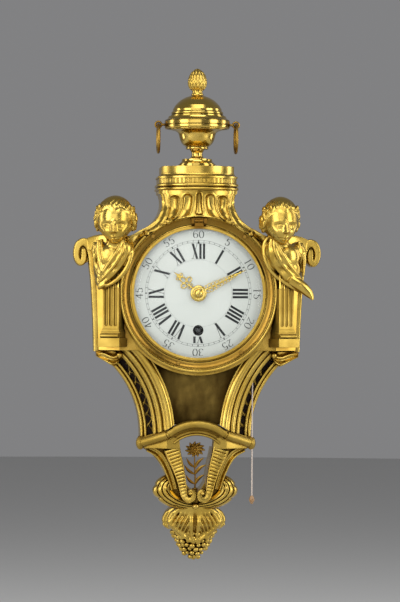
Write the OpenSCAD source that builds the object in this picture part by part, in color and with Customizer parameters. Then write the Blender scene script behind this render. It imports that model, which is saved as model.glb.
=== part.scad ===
// Gilt bronze wall clock with busts, urn and pull repeat, in millimetres.
// Drawn about the dial centre, X right, Y into the wall, Z up, and hung by its hanging hole.
// Depths are measured from the wall towards the viewer.

/* [Case] */
// Half width of the case at the shoulders
top_half = 83; // [81:0.5:85]
// Half width of the case at the sill
low_half = 79.5; // [77.5:0.5:81]
// Depth of the case front from the wall
case_d = 53; // [52:0.5:56]
// Wall thickness of the castings
wall = 3; // [2.6:0.1:3.4]
// Angle of the canted corners
cant = 27; // [24:1:30]
// Height of the sill under the dial centre
sill_z = -46; // [-48:0.5:-44]
// Height of the shoulders
shoulder_z = 46; // [44:0.5:48]

/* [Dial and hands] */
// Radius of the enamel dial
dial_r = 52.2; // [51:0.1:53]
// Thickness of the enamel
dial_t = 1.6; // [1.2:0.1:1.8]
// Rise of the enamel at its centre
dial_rise = 2; // [1.5:0.1:2.2]
// Rise of the domed glass
glass_rise = 9.5; // [9:0.5:10.5]
// From the minute hand's tip to the edge of the enamel
tip_in = 9.2; // [8.6:0.2:10]
// Length of the hour hand
hour_len = 26; // [24:0.5:30]
// Hour hand angle, clockwise from the top
hour_deg = 311; // [300:1:320]
// Minute hand angle, clockwise from the top
minute_deg = 63.5; // [50:0.5:80]

/* [Neck, plinth and urn] */
// Half width of the neck at its waist
neck_half = 29.6; // [28:0.2:31]
// Half width of the plinth block
plinth_half = 32.9; // [32:0.1:34]
// Radius of the bowed plinth front
plinth_bow = 36; // [35:0.5:38]
// Height of the plinth block
plinth_h = 12.4; // [12:0.1:13]
// Radius of the urn rim
urn_r = 26.5; // [25:0.1:28]
// Height of the urn foot and stem
foot_h = 16.4; // [15:0.1:18]
// Height of the bowl up to its rim
bowl_h = 21.4; // [20:0.1:23]
// Height of the urn lid
lid_h = 20.4; // [19:0.1:22]
// Radius of the hanging rings
loop_r = 11.2; // [10:0.1:11.6]
// Radius of the wire of the hanging rings
loop_wire = 1.2; // [1:0.05:1.3]

/* [Pilasters and busts] */
// Width of the pilaster shaft
shaft_w = 14; // [13:0.2:15]
// Projection of the pilaster shaft
shaft_n = 11; // [10:0.2:12]
// Height of the pilaster base
base_h = 14; // [13:0.2:15]
// Height of the head centre of the busts
head_z = 61.5; // [60:0.5:63]
// Width of the heads
head_w = 31; // [29:0.5:32]

/* [Legs and lower case] */
// Distance of the leg curve centre from the middle
leg_cx = 127; // [126:0.5:128]
// Height of the leg curve centre
leg_cz = -115; // [-116:0.5:-114]
// Radius of the outer leg edge
leg_out = 82; // [81.5:0.1:82.5]
// Width of the leg slot
slot_w = 4; // [3.6:0.1:4.4]
// Radius of the cornice arch
arch_r = 36; // [35.5:0.1:36.5]
// Radius of the cornice roll
roll_r = 3.4; // [3:0.1:3.6]
// Depth of the lower case
low_d = 26; // [24:0.5:27]
// Radius of the lower cheeks
cheek_r = 39; // [38:0.2:40]
// Half width of the pendant
pendant_r = 25.4; // [24:0.2:26]
// Length of the pendant
pendant_h = 43.8; // [42:0.2:46]

/* [Movement] */
// Radius of the movement plates
plate_r = 50; // [49:0.5:51]
// Thickness of the movement plates
plate_t = 2; // [1.6:0.1:2.2]
// Distance of the winding arbor under the centre
wind_dz = 29.7; // [29.2:0.1:30.2]
// Tooth module of the barrel
barrel_m = 0.5; // [0.49:0.005:0.51]
// Tooth module of the intermediate wheel
inter_m = 0.45; // [0.44:0.005:0.46]
// Tooth module of the centre wheel
centre_m = 0.33; // [0.325:0.005:0.335]
// Tooth module of the third wheel
third_m = 0.33; // [0.325:0.005:0.335]
// Tooth module of the minute wheel
motion_m = 0.5; // [0.48:0.01:0.52]
// Length of the pendulum
pend_len = 104.8; // [103:0.2:107]
// Radius of the pendulum bob
bob_r = 12; // [11:0.5:13]
// Radius of the bell
bell_r = 18; // [17:0.5:18.5]

/* [Repeat pull] */
// Distance of the cord from the middle
cord_x = 45.6; // [45.2:0.1:46]
// Diameter of the cord
cord_dia = 1.4; // [1.2:0.1:1.6]
// Height of the top of the bead
bead_z = -163.6; // [-168:0.2:-160]
// Diameter of the bead
bead_dia = 4.4; // [4:0.1:5]
// Radius of the repeat pulley groove
pulley_r = 8.6; // [8.2:0.1:9]

/* [Hidden] */
fine = 96;
mid = 48;
low = 24;
eps = 0.01;
over = 1;
fit = 0.05;
gap = 0.3;
gilt = "goldenrod";
brass = "darkkhaki";
steel = "slategray";
hang_z = 75;
// Case ring and front
ring_in = dial_r + 3.3;
cove_out = ring_in + 5.7;
bead_r = 1.2;
bead_c = cove_out + 1.4;
ring_end = bead_c + bead_r;
ring_out = ring_end + 2.2;
front_half = ring_out - 3;
ring_back = case_d - wall;
cove_r = 7.2;
ring_front = case_d + 7.6;
plan_w = top_half + 20;
trunk_half = 58;
lip_d = 46;
lug_r = 5;
lug_z = [36, -34];
cover_d = 1.4;
cover_t = 1.2;
screw_r = 1.2;
screw_head = 2.4;
plate_screw_r = 0.8;
ring_screw_r = 0.9;
ring_screw_at = ring_in + 3;
ring_screw_deg = [51, 129, 254, 306];
// Dial and bezel depths
dial_seat = case_d - 1;
dial_top = dial_seat + dial_t + dial_rise;
bezel_back = dial_seat + dial_t + 0.8;
bezel_t = 3.6;
bezel_out = ring_in - 0.5;
bezel_in = dial_r - 0.4;
glass_r = bezel_in + 2;
glass_t = 1.2;
glass_lip = 1.1;
glass_back = bezel_back + bezel_t - glass_lip - glass_t;
hinge_z = ring_in + 2.5;
hinge_d = bezel_back + bezel_t + 1.5;
knuckle_r = 1.4;
knuckle_half = 3.5;
pin_r = 0.7;
ear_w = 2.2;
// Neck
neck_arc = 24;
neck_cz = 72.8;
neck_cx = neck_half + neck_arc;
neck_top = 83;
neck_wing_d = case_d - 5;
neck_bow = 41;
neck_bow_d = 18;
neck_ring = cove_out + 0.4;
neck_lip = ring_front - 0.4;
neck_foot = shoulder_z + 0.6;
bead_stop = asin((shoulder_z + 0.4) / ring_end);
flute_w = 4.4;
flute_deep = 1.6;
flute_x = [8.4, 16.4, 24];
// Plinth
plinth_z = neck_top;
plinth_c = 27;
block_h = 7;
block_in = 3.7;
plinth_top = plinth_z + plinth_h + block_h;
// Urn
urn_d = 30;
rod_r = 2;
foot_r = 15.1;
stem_r = 4.6;
foot_top = plinth_top + foot_h;
rim_h = 7.1;
rim_z = foot_top + bowl_h - rim_h;
lid_z = rim_z + rim_h;
lid_top = lid_z + lid_h;
cone_h = 21.8;
eye_r = 2.4;
eye_wire = 0.85;
eye_x = urn_r + 5;
eye_z = rim_z + rim_h / 2;
// Pilasters and busts, measured along and out of the canted face
pil_x = front_half + 2.5;
bust_x = front_half + 1;
base_z = sill_z + 3;
base_w = shaft_w + 5;
base_n = shaft_n + 4;
shaft_top = 4;
flute_r = 1.5;
head_u = -4.5;
head_n = 17;
chest_z = 34;
// Legs
slot_r = leg_out + 6;
band_r = slot_r + slot_w;
leg_in = band_r + 17;
band_d = 36.5;
strip_d = 29;
arch_z = -141.4;
arch_d = 46;
arch_half = 40;
joint_x = (arch_r) * sin(arch_half);
joint_z = arch_z + arch_r * cos(arch_half);
roll_stop = [45, -20, -121.5];
roll_start = [joint_x, -arch_d, joint_z];
roll_dir = (roll_stop - roll_start) / norm(roll_stop - roll_start);
cap_r = 7.6;
cap_t = 3.6;
boss_r = 4.4;
boss_t = 1.6;
leg_slope = 0.36;
leg_cut_x = joint_x;
joint_r = roll_r + 0.35;
leg_cut_z = joint_z + (joint_r + gap) * sqrt(1 + leg_slope * leg_slope);
bed_z = -125.2;
bed_half = 45;
bed_d = 30;
panel_t = 1.4;
fret_t = 1.4;
// Lower case
cheek_cx = 61;
cheek_cz = -160;
low_end = -174;
low_half_w = 42;
open_pts = [[13.7, -122], [12.3, -130], [10.1, -139.5], [8.8, -148], [7.6, -154], [4.5, -158.5], [0, -160]];
foot_rise = (open_pts[5][1] - open_pts[6][1]) / open_pts[5][0];
con_d = low_d + 17;
con_pts = [[13.7, bed_z - 0.6], [12.8, -130], [10.9, -139.5], [9.4, -148], [8.4, -154], [6, -158.5],
    [6, -166], [11.5, -163], [13, -156], [14.4, -149], [17.2, -141], [21, -133], [25, bed_z - 0.6]];
con_scroll = [5.4, -162.6];
con_scroll_r = 4.7;
pendant_z = low_end;
pendant_d = 6;
// Movement levels, depth from the wall
back_d = 18;
back_f = back_d + plate_t;
front_b = back_f + 18;
front_f = front_b + plate_t;
dial_plate_t = 2.1;
dial_plate_d = ring_back - dial_plate_t;
pivot_r = 0.8;
arbor_r = 1.2;
pillar_r = 3;
pillar_at = plate_r - 6;
pillar_deg = [35, 145, 207, 345];
feet_deg = [70, 165, 195, 300];
// Train
barrel_n = 72;
inter_leaf = 12;
inter_n = 70;
centre_leaf = 10;
centre_n = 96;
third_leaf = 8;
third_n = 88;
escape_leaf = 8;
escape_n = 42;
cannon_n = 12;
minute_n = 36;
minute_leaf = 10;
hour_n = 40;
motion_m2 = motion_m * (cannon_n + minute_n) / (minute_leaf + hour_n);
barrel_cd = barrel_m * (barrel_n + inter_leaf) / 2;
inter_cd = inter_m * (inter_n + centre_leaf) / 2;
third_cd = centre_m * (centre_n + third_leaf) / 2;
escape_cd = third_m * (third_n + escape_leaf) / 2;
motion_cd = motion_m * (cannon_n + minute_n) / 2;
inter_z = (barrel_cd * barrel_cd - inter_cd * inter_cd - wind_dz * wind_dz) / (2 * wind_dz);
inter_x = sqrt(inter_cd * inter_cd - inter_z * inter_z);
third_deg = 135;
third_x = third_cd * cos(third_deg);
third_z = third_cd * sin(third_deg);
escape_z = third_z + sqrt(escape_cd * escape_cd - third_x * third_x);
escape_r = 9;
anchor_z = escape_z + 13;
motion_deg = 40;
motion_x = motion_cd * cos(motion_deg);
motion_z = motion_cd * sin(motion_deg);
inter_deg = atan2(inter_z, inter_x);
barrel_deg = atan2(inter_z + wind_dz, inter_x);
escape_deg = atan2(escape_z - third_z, -third_x);
// Depth levels of the wheels
great_d = back_f + 1;
great_t = 2;
drum_h = 7;
drum_r = barrel_m * barrel_n / 2 - 1;
wind_r = 3;
inter_d = great_d + great_t + drum_h + 1;
centre_d = inter_d + 3;
third_d = great_d + 6;
escape_d = great_d + 2;
wheel_t = 1.3;
pin_over = 0.4;
cannon_d = front_f + 1;
cannon_t = 2.4;
hour_d = cannon_d + cannon_t + 1.2;
pipe_in = 1.96;
pipe_out = 2.7;
cannon_r = 1.9;
hand_gap = 0.5;
hand_t = 0.7;
hour_hand_d = dial_top + hand_gap;
minute_hand_d = hour_hand_d + hand_t + hand_gap;
minute_len = dial_r - tip_in;
ratchet_r = 7;
ratchet_n = 24;
ratchet_d = front_f + 0.4;
square_w = 3.5;
pend_d = 10.5;
rod_w = 0.8;
bob_t = 6;
crutch_d = back_d - 3;
bell_z = -78;
bell_d = back_d + 4;
bell_h = 11;
bell_t = 1.2;
hammer_x = 24;
hammer_z = -38;
head_gap = 1;
hammer_head = 3;
hammer_at = [20.5, bell_z + 8];
pulley_d = 34.5;
pulley_x = cord_x - pulley_r - cord_dia / 2;
pulley_z = -28;
pulley_t = 4;
bead_h = 6.6;

// Moves the whole clock so that its hanging hole is the origin
module hung() {
    translate([0, 0, -hang_z]) children();
}

// Extrudes a front view between two depths
module slab(d0, d1) {
    translate([0, -d0, 0]) rotate([90, 0, 0]) linear_extrude(d1 - d0) children();
}

// Turns a profile of radius and depth about the dial axis
module spun() {
    rotate([90, 0, 0]) rotate_extrude($fn = fine) children();
}

// Turns a profile through part of a circle in the front view
module spun_arc(a0, a1) {
    rotate([90, 0, 0]) rotate([0, 0, a0]) rotate_extrude(angle = a1 - a0, $fn = fine) children();
}

// Round bar along the depth
module post(x, z, d0, d1, r) {
    translate([x, -d0, z]) rotate([90, 0, 0]) cylinder(h = d1 - d0, r = r, $fn = mid);
}

// Round bar between two points
module rod(p, q, r) {
    v = q - p;
    translate(p) rotate([0, acos(v[2] / norm(v)), atan2(v[1], v[0])])
        cylinder(h = norm(v), r = r, $fn = mid);
}

// Right piece and its mirror image
module both() {
    children();
    mirror([1, 0, 0]) children();
}

// Frame on the canted corner: X along the face, depth out of it
module canted(x) {
    translate([x, -(case_d - (x - front_half) * tan(cant)), 0]) rotate([0, 0, cant]) children();
}

// Half width of the case at a height, and the place of a lug against the wall
function edge(z) = low_half + (top_half - low_half) * (z - sill_z) / (shoulder_z - sill_z);

function lug_x(z) = edge(z) - wall - lug_r + 1;

// Point on a circle in the front view
function polar(r, a) = [r * cos(a), r * sin(a)];

// Tooth outline with radial flanks and pointed tips
function tooth(n, m, i, share, add, ded, tip) =
    let(p = n * m / 2, a = i * 360 / n, h = share * 180 / n)
    [polar(p - ded * m, a - h), polar(p, a - h), polar(p + add * m, a - h * tip),
        polar(p + add * m, a + h * tip), polar(p, a + h), polar(p - ded * m, a + h)];

module wheel2d(n, m) {
    polygon([for (i = [0:n - 1]) for (q = tooth(n, m, i, 0.46, 1.1, 1.35, 0.3)) q]);
}

module pinion2d(n, m) {
    polygon([for (i = [0:n - 1]) for (q = tooth(n, m, i, 0.36, 0.65, 1.6, 0.45)) q]);
}

// Wheel with spokes, turned so that a tooth points at one angle
module wheel(n, m, at, d, t, hub, spokes) {
    rim = n * m / 2 - 1.35 * m - 1.6;
    slab(d, d + t) difference() {
        rotate([0, 0, at]) wheel2d(n, m);
        difference() {
            circle(rim, $fn = mid);
            circle(hub, $fn = mid);
            for (i = [0:spokes - 1]) rotate([0, 0, i * 360 / spokes])
                translate([0, -0.8]) square([rim + 1, 1.6]);
        }
    }
}

// Pinion turned so that a space faces one angle
module pinion(n, m, at, d0, d1) {
    slab(d0, d1) rotate([0, 0, at + 180 / n]) pinion2d(n, m);
}

// Plan of the case, drawn in by o
module plan(o, back) {
    ax = front_half - o * tan(cant / 2);
    ad = case_d - o;
    bd = ad - (plan_w - ax) * tan(cant);
    polygon([[ax, -ad], [plan_w, -bd], [plan_w, back], [-plan_w, back], [-plan_w, -bd], [-ax, -ad]]);
}

// Front view of the case, drawn in by o
module case_outline(o) {
    circle(ring_out - o, $fn = fine);
    polygon([[-low_half + o, sill_z + o], [low_half - o, sill_z + o],
        [top_half - o, shoulder_z - o], [-top_half + o, shoulder_z - o]]);
}

// Section of the moulded ring around the dial
module ring_section() {
    difference() {
        translate([ring_in, ring_back]) square([cove_out - ring_in, ring_front - ring_back]);
        translate([ring_in - 0.3, ring_front + 2.8]) circle(cove_r, $fn = fine);
    }
}

// Section of the outer bead, which ends under the neck
module bead_section() {
    translate([cove_out - 0.2, ring_back]) square([0.7, case_d + 4.5 - ring_back]);
    translate([cove_out + 0.4, ring_back]) square([ring_end - cove_out - 0.4, case_d + 6 - ring_back]);
    translate([bead_c, case_d + 6.1]) circle(bead_r, $fn = low);
}

module case_body() hung() color(gilt) difference() {
    union() {
        difference() {
            intersection() {
                translate([0, 0, -ring_out - over]) linear_extrude(2 * ring_out + 2 * over) plan(0, 0);
                slab(0, case_d) case_outline(0);
            }
            intersection() {
                translate([0, 0, -ring_out]) linear_extrude(2 * ring_out) plan(wall, over);
                slab(-over, ring_back) case_outline(wall);
            }
        }
        spun() ring_section();
        spun_arc(180 - bead_stop, 360 + bead_stop) bead_section();
        for (z = lug_z) both() post(lug_x(z), z, cover_d + cover_t, 12, lug_r);
        both() translate([knuckle_half + 0.4, -hinge_d - 1.6, hinge_z - 2])
            cube([ear_w, hinge_d + 1.6 - case_d, 4]);
    }
    post(0, 0, ring_back - over, ring_front + over, ring_in);
    slab(-over, lip_d) translate([-trunk_half, -ring_out - over])
        square([2 * trunk_half, ring_out + over - 34]);
    translate([-knuckle_half - 0.4, -ring_front - 3, ring_in - 2])
        cube([2 * knuckle_half + 0.8, ring_front + 3 - case_d - 1.6, 7]);
    rod([-10, -hinge_d, hinge_z], [10, -hinge_d, hinge_z], pin_r);
    for (a = ring_screw_deg) rotate([0, -a, 0]) {
        post(ring_screw_at, 0, ring_back - over, ring_front + over, ring_screw_r);
        post(ring_screw_at, 0, case_d + 3.4, ring_front + over, ring_screw_r * 1.7);
    }
    for (z = lug_z) both() post(lug_x(z), z, 0, 9, screw_r);
}

// Space under the case and above the cornice that the legs fill
module leg_field() {
    difference() {
        polygon([[0, sill_z], [low_half, sill_z], [low_half + 4, sill_z], [90, -100],
            [90, leg_cut_z - (90 - leg_cut_x) * leg_slope], [leg_cut_x, leg_cut_z], [0, leg_cut_z + 4]]);
        circle(ring_out, $fn = fine);
        translate([0, arch_z]) circle(arch_r + roll_r + 0.4, $fn = fine);
    }
}

module band_section() {
    polygon([[band_r, band_d], [leg_in, band_d], [leg_in, case_d - 4.5], [band_r + 9, case_d - 7.5],
        [band_r + 9, case_d - 9.5], [band_r + 4, band_d + 4], [band_r + 4, band_d + 2.6],
        [band_r, band_d + 1.4]]);
    translate([band_r + 13.2, case_d - 6.4]) circle(3, $fn = low);
    translate([band_r + 6.6, case_d - 10.8]) circle(2, $fn = low);
    translate([band_r + 2, band_d + 2]) circle(1.5, $fn = low);
}

module strip_section() {
    polygon([[leg_out, 0], [leg_out + wall, 0], [leg_out + wall, strip_d - 5], [slot_r, strip_d - 5],
        [slot_r, strip_d], [leg_out, strip_d - 1]]);
    translate([leg_out + 1.6, strip_d - 0.6]) circle(1.5, $fn = low);
    translate([leg_out + 4.5, strip_d]) circle(1.4, $fn = low);
}

module web_section() {
    polygon([[leg_out + 2, strip_d - 8], [slot_r, strip_d - 8], [leg_in - 1, band_d - 3],
        [leg_in - 1, band_d], [band_r, band_d], [slot_r, strip_d], [leg_out + 2, strip_d - 3]]);
    translate([band_r - eps, band_d - 2]) square([leg_in - band_r - 2, 3]);
}

// Room around the right end cap of the cornice
module cap_room() {
    rod(roll_stop - roll_dir * gap, roll_stop + roll_dir * (cap_t + gap), cap_r + gap);
    rod(roll_stop, roll_stop + roll_dir * (cap_t + boss_t + gap), boss_r + gap);
}

module legs() hung() color(gilt) both() difference() {
    intersection() {
        slab(0, case_d) leg_field();
        translate([leg_cx, 0, leg_cz]) union() {
            spun_arc(118, 190) band_section();
            spun_arc(118, 190) strip_section();
            spun_arc(118, 137) web_section();
            spun_arc(181.5, 190) web_section();
        }
    }
    cap_room();
}

// Pierced strips behind the slots
module side_frets() hung() color(gilt) both() difference() {
    intersection() {
        slab(0, strip_d) translate([0, gap]) leg_field();
        translate([leg_cx, 0, leg_cz]) spun_arc(140, 180)
            translate([leg_out + wall + gap, strip_d - 5 - fret_t]) square([12, fret_t]);
    }
    translate([leg_cx, 0, leg_cz]) for (a = [142.5:2.9:176]) rotate([0, -a, 0]) {
        post(slot_r + slot_w / 2 + 0.4, 0, 0, strip_d, 1.5);
        post(slot_r + slot_w / 2 + 4, 0, 0, strip_d, 0.9);
    }
    cap_room();
}

// Front view of the neck above a circle of radius r, drawn in by o
module neck_outline(o, r) {
    difference() {
        translate([-neck_cx, shoulder_z]) square([2 * neck_cx, neck_top - shoulder_z - o]);
        circle(r + o, $fn = fine);
        both() translate([neck_cx, neck_cz]) circle(neck_arc + o, $fn = fine);
        both() translate([neck_half + 2.4 - o, neck_cz]) square([40, 20]);
    }
}

// Stopped flute cut into the bowed front at a distance from the middle
module neck_flute(x) {
    z0 = sqrt(ring_out * ring_out - x * x) + flute_r;
    z1 = neck_top - 3.4;
    translate([x, -neck_bow_d - sqrt(neck_bow * neck_bow - x * x), z0])
        cylinder(h = z1 - z0, r = flute_w / 2, $fn = low);
}

// Bowed and winged block of the neck
module neck_block() {
    translate([0, -neck_bow_d, shoulder_z - over]) cylinder(h = 50, r = neck_bow, $fn = fine);
    translate([-70, -neck_wing_d, shoulder_z - over]) cube([140, neck_wing_d, 50]);
    spun_arc(36, 144) polygon([[neck_ring - over, 0], [neck_ring - over, neck_lip], [neck_ring + 1, neck_lip],
        [ring_out + 1, neck_lip - 2.4], [ring_out + 6, neck_lip - 6.4], [ring_out + 13, neck_wing_d - 1], [ring_out + 13, 0]]);
}

module frieze() hung() color(gilt) difference() {
    intersection() {
        union() {
            slab(0, case_d + 10) neck_outline(0, ring_out);
            slab(case_d + fit, case_d + 10) intersection() {
                neck_outline(0, neck_ring);
                translate([-neck_cx, neck_foot + fit]) square([2 * neck_cx, neck_top]);
            }
        }
        neck_block();
    }
    neck_flute(0);
    both() for (x = flute_x) neck_flute(x);
    slab(-over, neck_wing_d - flute_deep - wall) neck_outline(wall, ring_out);
    translate([-neck_half, -2, hang_z - 9]) cube([2 * neck_half, 3, neck_top + over - hang_z + 9]);
    translate([0, -urn_d, neck_top - wall - over]) cylinder(h = wall + 2 * over, r = 6, $fn = mid);
    both() post(neck_half - wall / 2, neck_cz, 0, 8, plate_screw_r);
}

module hanging_plate() hung() color(steel) difference() {
    slab(0, 2) translate([-neck_half + 0.4, hang_z - 8.6]) square([2 * neck_half - 0.8, neck_top - hang_z + 8.4]);
    post(0, hang_z, -over, 3, 4.5);
    both() post(neck_half - wall / 2 - 0.1, neck_cz, -over, 3, plate_screw_r + 0.1);
    both() post(neck_half - wall / 2 - 0.1, neck_cz, -over, 1, plate_screw_r + 0.5);
}

// Half section of the plinth mouldings out to a given width
module plinth_half2d(w) {
    z = plinth_z;
    translate([0, z]) square([w - 1.2, 2.5]);
    translate([w - 1.2, z + 1.25]) circle(1.25, $fn = low);
    translate([0, z + 2]) square([w - 1.9, 1.6]);
    translate([0, z + 2.9]) square([w - 1.3, 2.6]);
    translate([w - 1.3, z + 4.2]) circle(1.3, $fn = low);
    translate([0, z + 5]) square([w - 1.6, plinth_h - 7]);
    translate([0, z + plinth_h - 2.6]) square([w - 0.8, 1.5]);
    difference() {
        translate([0, z + plinth_h - 1.2]) square([w - 0.8, 2.8]);
        translate([w - 0.8, z + plinth_h + 1.6]) circle(2.7, $fn = low);
    }
    translate([0, z + plinth_h]) square([w - block_in, block_h]);
}

module plinth() hung() color(gilt) difference() {
    intersection() {
        union() {
            translate([0, -plinth_c, 0]) rotate_extrude($fn = fine) plinth_half2d(plinth_bow);
            slab(0, plinth_c) both() plinth_half2d(plinth_bow);
        }
        slab(0, plinth_c + plinth_bow + over) both() plinth_half2d(plinth_half);
    }
    translate([0, -plinth_c, 0]) for (a = [-54:6:54]) rotate([0, 0, a - 90])
        translate([plinth_bow - 1.2, 0, plinth_z + 5.9]) cylinder(h = plinth_h - 9, r = 1.1, $fn = low);
    translate([0, -urn_d, plinth_z - over]) cylinder(h = plinth_h + over, r = 6.4, $fn = mid);
    translate([0, -urn_d, plinth_z]) cylinder(h = plinth_h + block_h + over, r = rod_r, $fn = mid);
}

// Turned urn piece on the urn axis, bored for the tie rod
module turned(z) {
    translate([0, -urn_d, z]) difference() {
        rotate_extrude($fn = fine) children();
        translate([0, 0, -over]) cylinder(h = lid_h + cone_h, r = rod_r, $fn = mid);
    }
}

module urn_foot() hung() color(gilt) turned(plinth_top) {
    square([foot_r, 2.2]);
    difference() {
        translate([0, 2]) square([foot_r - 1, 4.4]);
        translate([foot_r + 1.4, 6.6]) circle(4.4, $fn = mid);
    }
    translate([0, 2]) square([foot_r - 4, 3]);
    translate([0, 4.8]) square([stem_r + 1.2, 1.8]);
    difference() {
        translate([0, 6.4]) square([stem_r + 1.2, foot_h - 8.6]);
        translate([stem_r + 4.2, 6.4 + (foot_h - 8.6) / 2]) circle(4.4, $fn = mid);
    }
    translate([0, foot_h - 2.3]) square([9.2 - 1.1, 2.3]);
    translate([8.1, foot_h - 1.15]) circle(1.15, $fn = low);
}

module urn_bowl() hung() color(gilt) difference() {
    turned(foot_top) {
        b = bowl_h - rim_h;
        polygon([[0, 0], [9.4, 0], [10.4, b * 0.2], [12, b * 0.42], [13.6, b * 0.66], [14.4, b * 0.8],
            [14.9, b * 0.86], [18, b * 0.92], [urn_r - 2, b], [urn_r - 1, b], [0, b]]);
        translate([0, b]) square([urn_r - 0.8, rim_h]);
        translate([urn_r - 1.8, b + 1.8]) circle(1.8, $fn = low);
        translate([0, b + 1.8]) square([urn_r, 1.2]);
        translate([0, b + 4]) square([urn_r, rim_h - 4.6]);
    }
    both() rod([urn_r - 6, -urn_d, eye_z], [urn_r + 2, -urn_d, eye_z], 1);
}

module urn_lid() hung() color(gilt) turned(lid_z) {
    k = urn_r / 26.5;
    difference() {
        square([26.2 * k, 3.2]);
        translate([27.6 * k, 4.4]) circle(4.6, $fn = mid);
    }
    square([21.4 * k, 4.4]);
    translate([0, 4.2]) square([20 * k, 3.2]);
    translate([19.6 * k, 5.8]) circle(1.5, $fn = low);
    polygon([[0, 7], [20 * k, 7], [19.7 * k, 9], [18 * k, 12], [16 * k, 14.2], [13.5 * k, 16.4], [10 * k, 18.4],
        [7 * k, 19.5], [4.9 * k, lid_h], [0, lid_h]]);
}

module pinecone() hung() color(gilt) translate([0, -urn_d, lid_top]) difference() {
    rotate_extrude($fn = fine) polygon([[0, 0], [4.9, 0], [4.5, 1.6], [4.3, 3.2], [4.6, 4.4], [6, 5.6], [7, 7.4],
        [7.6, 10], [7.3, 12.6], [6.4, 15.4], [4.9, 18], [2.8, 20.4], [1, 21.6], [0, cone_h]]);
    translate([0, 0, -over]) cylinder(h = 7 + over, r = rod_r, $fn = mid);
}

module urn_tie_rod() hung() color(steel) translate([0, -urn_d, 0]) {
    translate([0, 0, plinth_z + 3]) cylinder(h = lid_top + 6 - plinth_z - 3, r = rod_r, $fn = mid);
    translate([0, 0, plinth_z + plinth_h - 3.6]) cylinder(h = 3.6, r = 4.4, $fn = 6);
}

module ring_eyes() hung() color(gilt) both() translate([0, -urn_d, eye_z]) difference() {
    union() {
        rod([urn_r - 4, 0, 0], [eye_x - eye_r, 0, 0], 1);
        translate([eye_x, 0, 0]) rotate([90, 0, 0]) rotate_extrude($fn = mid)
            translate([eye_r, 0]) circle(eye_wire, $fn = low);
    }
    translate([eye_x, 0, 0]) rotate([90, 0, 0]) cylinder(h = 6, r = eye_r - eye_wire, center = true, $fn = mid);
}

module hanging_ring() {
    translate([eye_x, -urn_d, eye_z - loop_r]) rotate([0, 90, 0]) rotate_extrude($fn = fine)
        translate([loop_r, 0]) circle(loop_wire, $fn = low);
}

module ring_right() hung() color(gilt) hanging_ring();

module ring_left() hung() color(gilt) mirror([1, 0, 0]) hanging_ring();

// Round void that the dial ring needs
module ring_void() {
    post(0, 0, 0, ring_front + 0.6, ring_end + 0.2);
}

module pilasters() hung() color(gilt) both() difference() {
    canted(pil_x) difference() {
        union() {
            slab(0, shaft_n) translate([-shaft_w / 2, base_z + base_h - eps])
                square([shaft_w, shaft_top - base_z - base_h + eps]);
            slab(0, base_n) translate([-base_w / 2, base_z]) square([base_w, base_h - 7]);
            slab(0, base_n - 1.6) translate([-base_w / 2 + 1.6, base_z + base_h - 7.2])
                square([base_w - 3.2, 4]);
            slab(0, base_n - 2.8) translate([-base_w / 2 + 1.4, base_z + base_h - 3.4])
                square([base_w - 2.8, 1.6]);
            slab(0, shaft_n + 0.8) translate([-shaft_w / 2 - 0.6, base_z + base_h - 2])
                square([shaft_w + 1.2, 2]);
            rod([-base_w / 2 + 1.6, -base_n + 1.9, base_z + base_h - 5.2],
                [base_w / 2 - 1.6, -base_n + 1.9, base_z + base_h - 5.2], 1.7);
        }
        for (u = [-1:1]) translate([u * shaft_w * 0.29, -shaft_n, 0]) {
            translate([0, 0, base_z + base_h + 4]) cylinder(h = shaft_top - base_z - base_h, r = flute_r, $fn = low);
            translate([0, 0, base_z + base_h + 4]) sphere(flute_r, $fn = low);
        }
    }
    ring_void();
}

// Bust with a plain head, drawn on the canted face
module bust() {
    difference() {
        canted(bust_x) {
            translate([head_u, -head_n, head_z]) scale([head_w / 36, 1, 1]) sphere(18, $fn = mid);
            translate([head_u + 0.4, -head_n + 0.6, chest_z + 2]) cylinder(h = 18, r = 8, $fn = mid);
            hull() {
                for (u = [-8, 9]) translate([u, -10, chest_z]) sphere(8, $fn = low);
                translate([1, -9, 10]) sphere(8, $fn = low);
                translate([1, -shaft_n + 1, shaft_top + 1]) sphere(6, $fn = low);
            }
            hull() {
                translate([-8, -17, chest_z - 2]) sphere(3.4, $fn = low);
                translate([11, -16, 12]) sphere(4.6, $fn = low);
                translate([14, -12, 6]) sphere(3, $fn = low);
            }
        }
        ring_void();
        translate([0, 0, -60]) linear_extrude(200) plan(0, over);
        slab(-over, 120) translate([0, -60]) square([120, 60 + shaft_top]);
        post(0, 0, 0, 140, bezel_out + 0.7);
    }
}

module bust_right() hung() color(gilt) bust();

module bust_left() hung() color(gilt) mirror([1, 0, 0]) bust();

// Spiral outline of the volute groove
function spiral(w) = concat(
    [for (a = [0:20:560]) [(3 + a * 0.0118 + w) * cos(a), (3.4 + a * 0.0128 + w) * sin(a)]],
    [for (a = [560:-20:0]) [(3 + a * 0.0118 - w) * cos(a), (3.4 + a * 0.0128 - w) * sin(a)]]);

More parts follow.
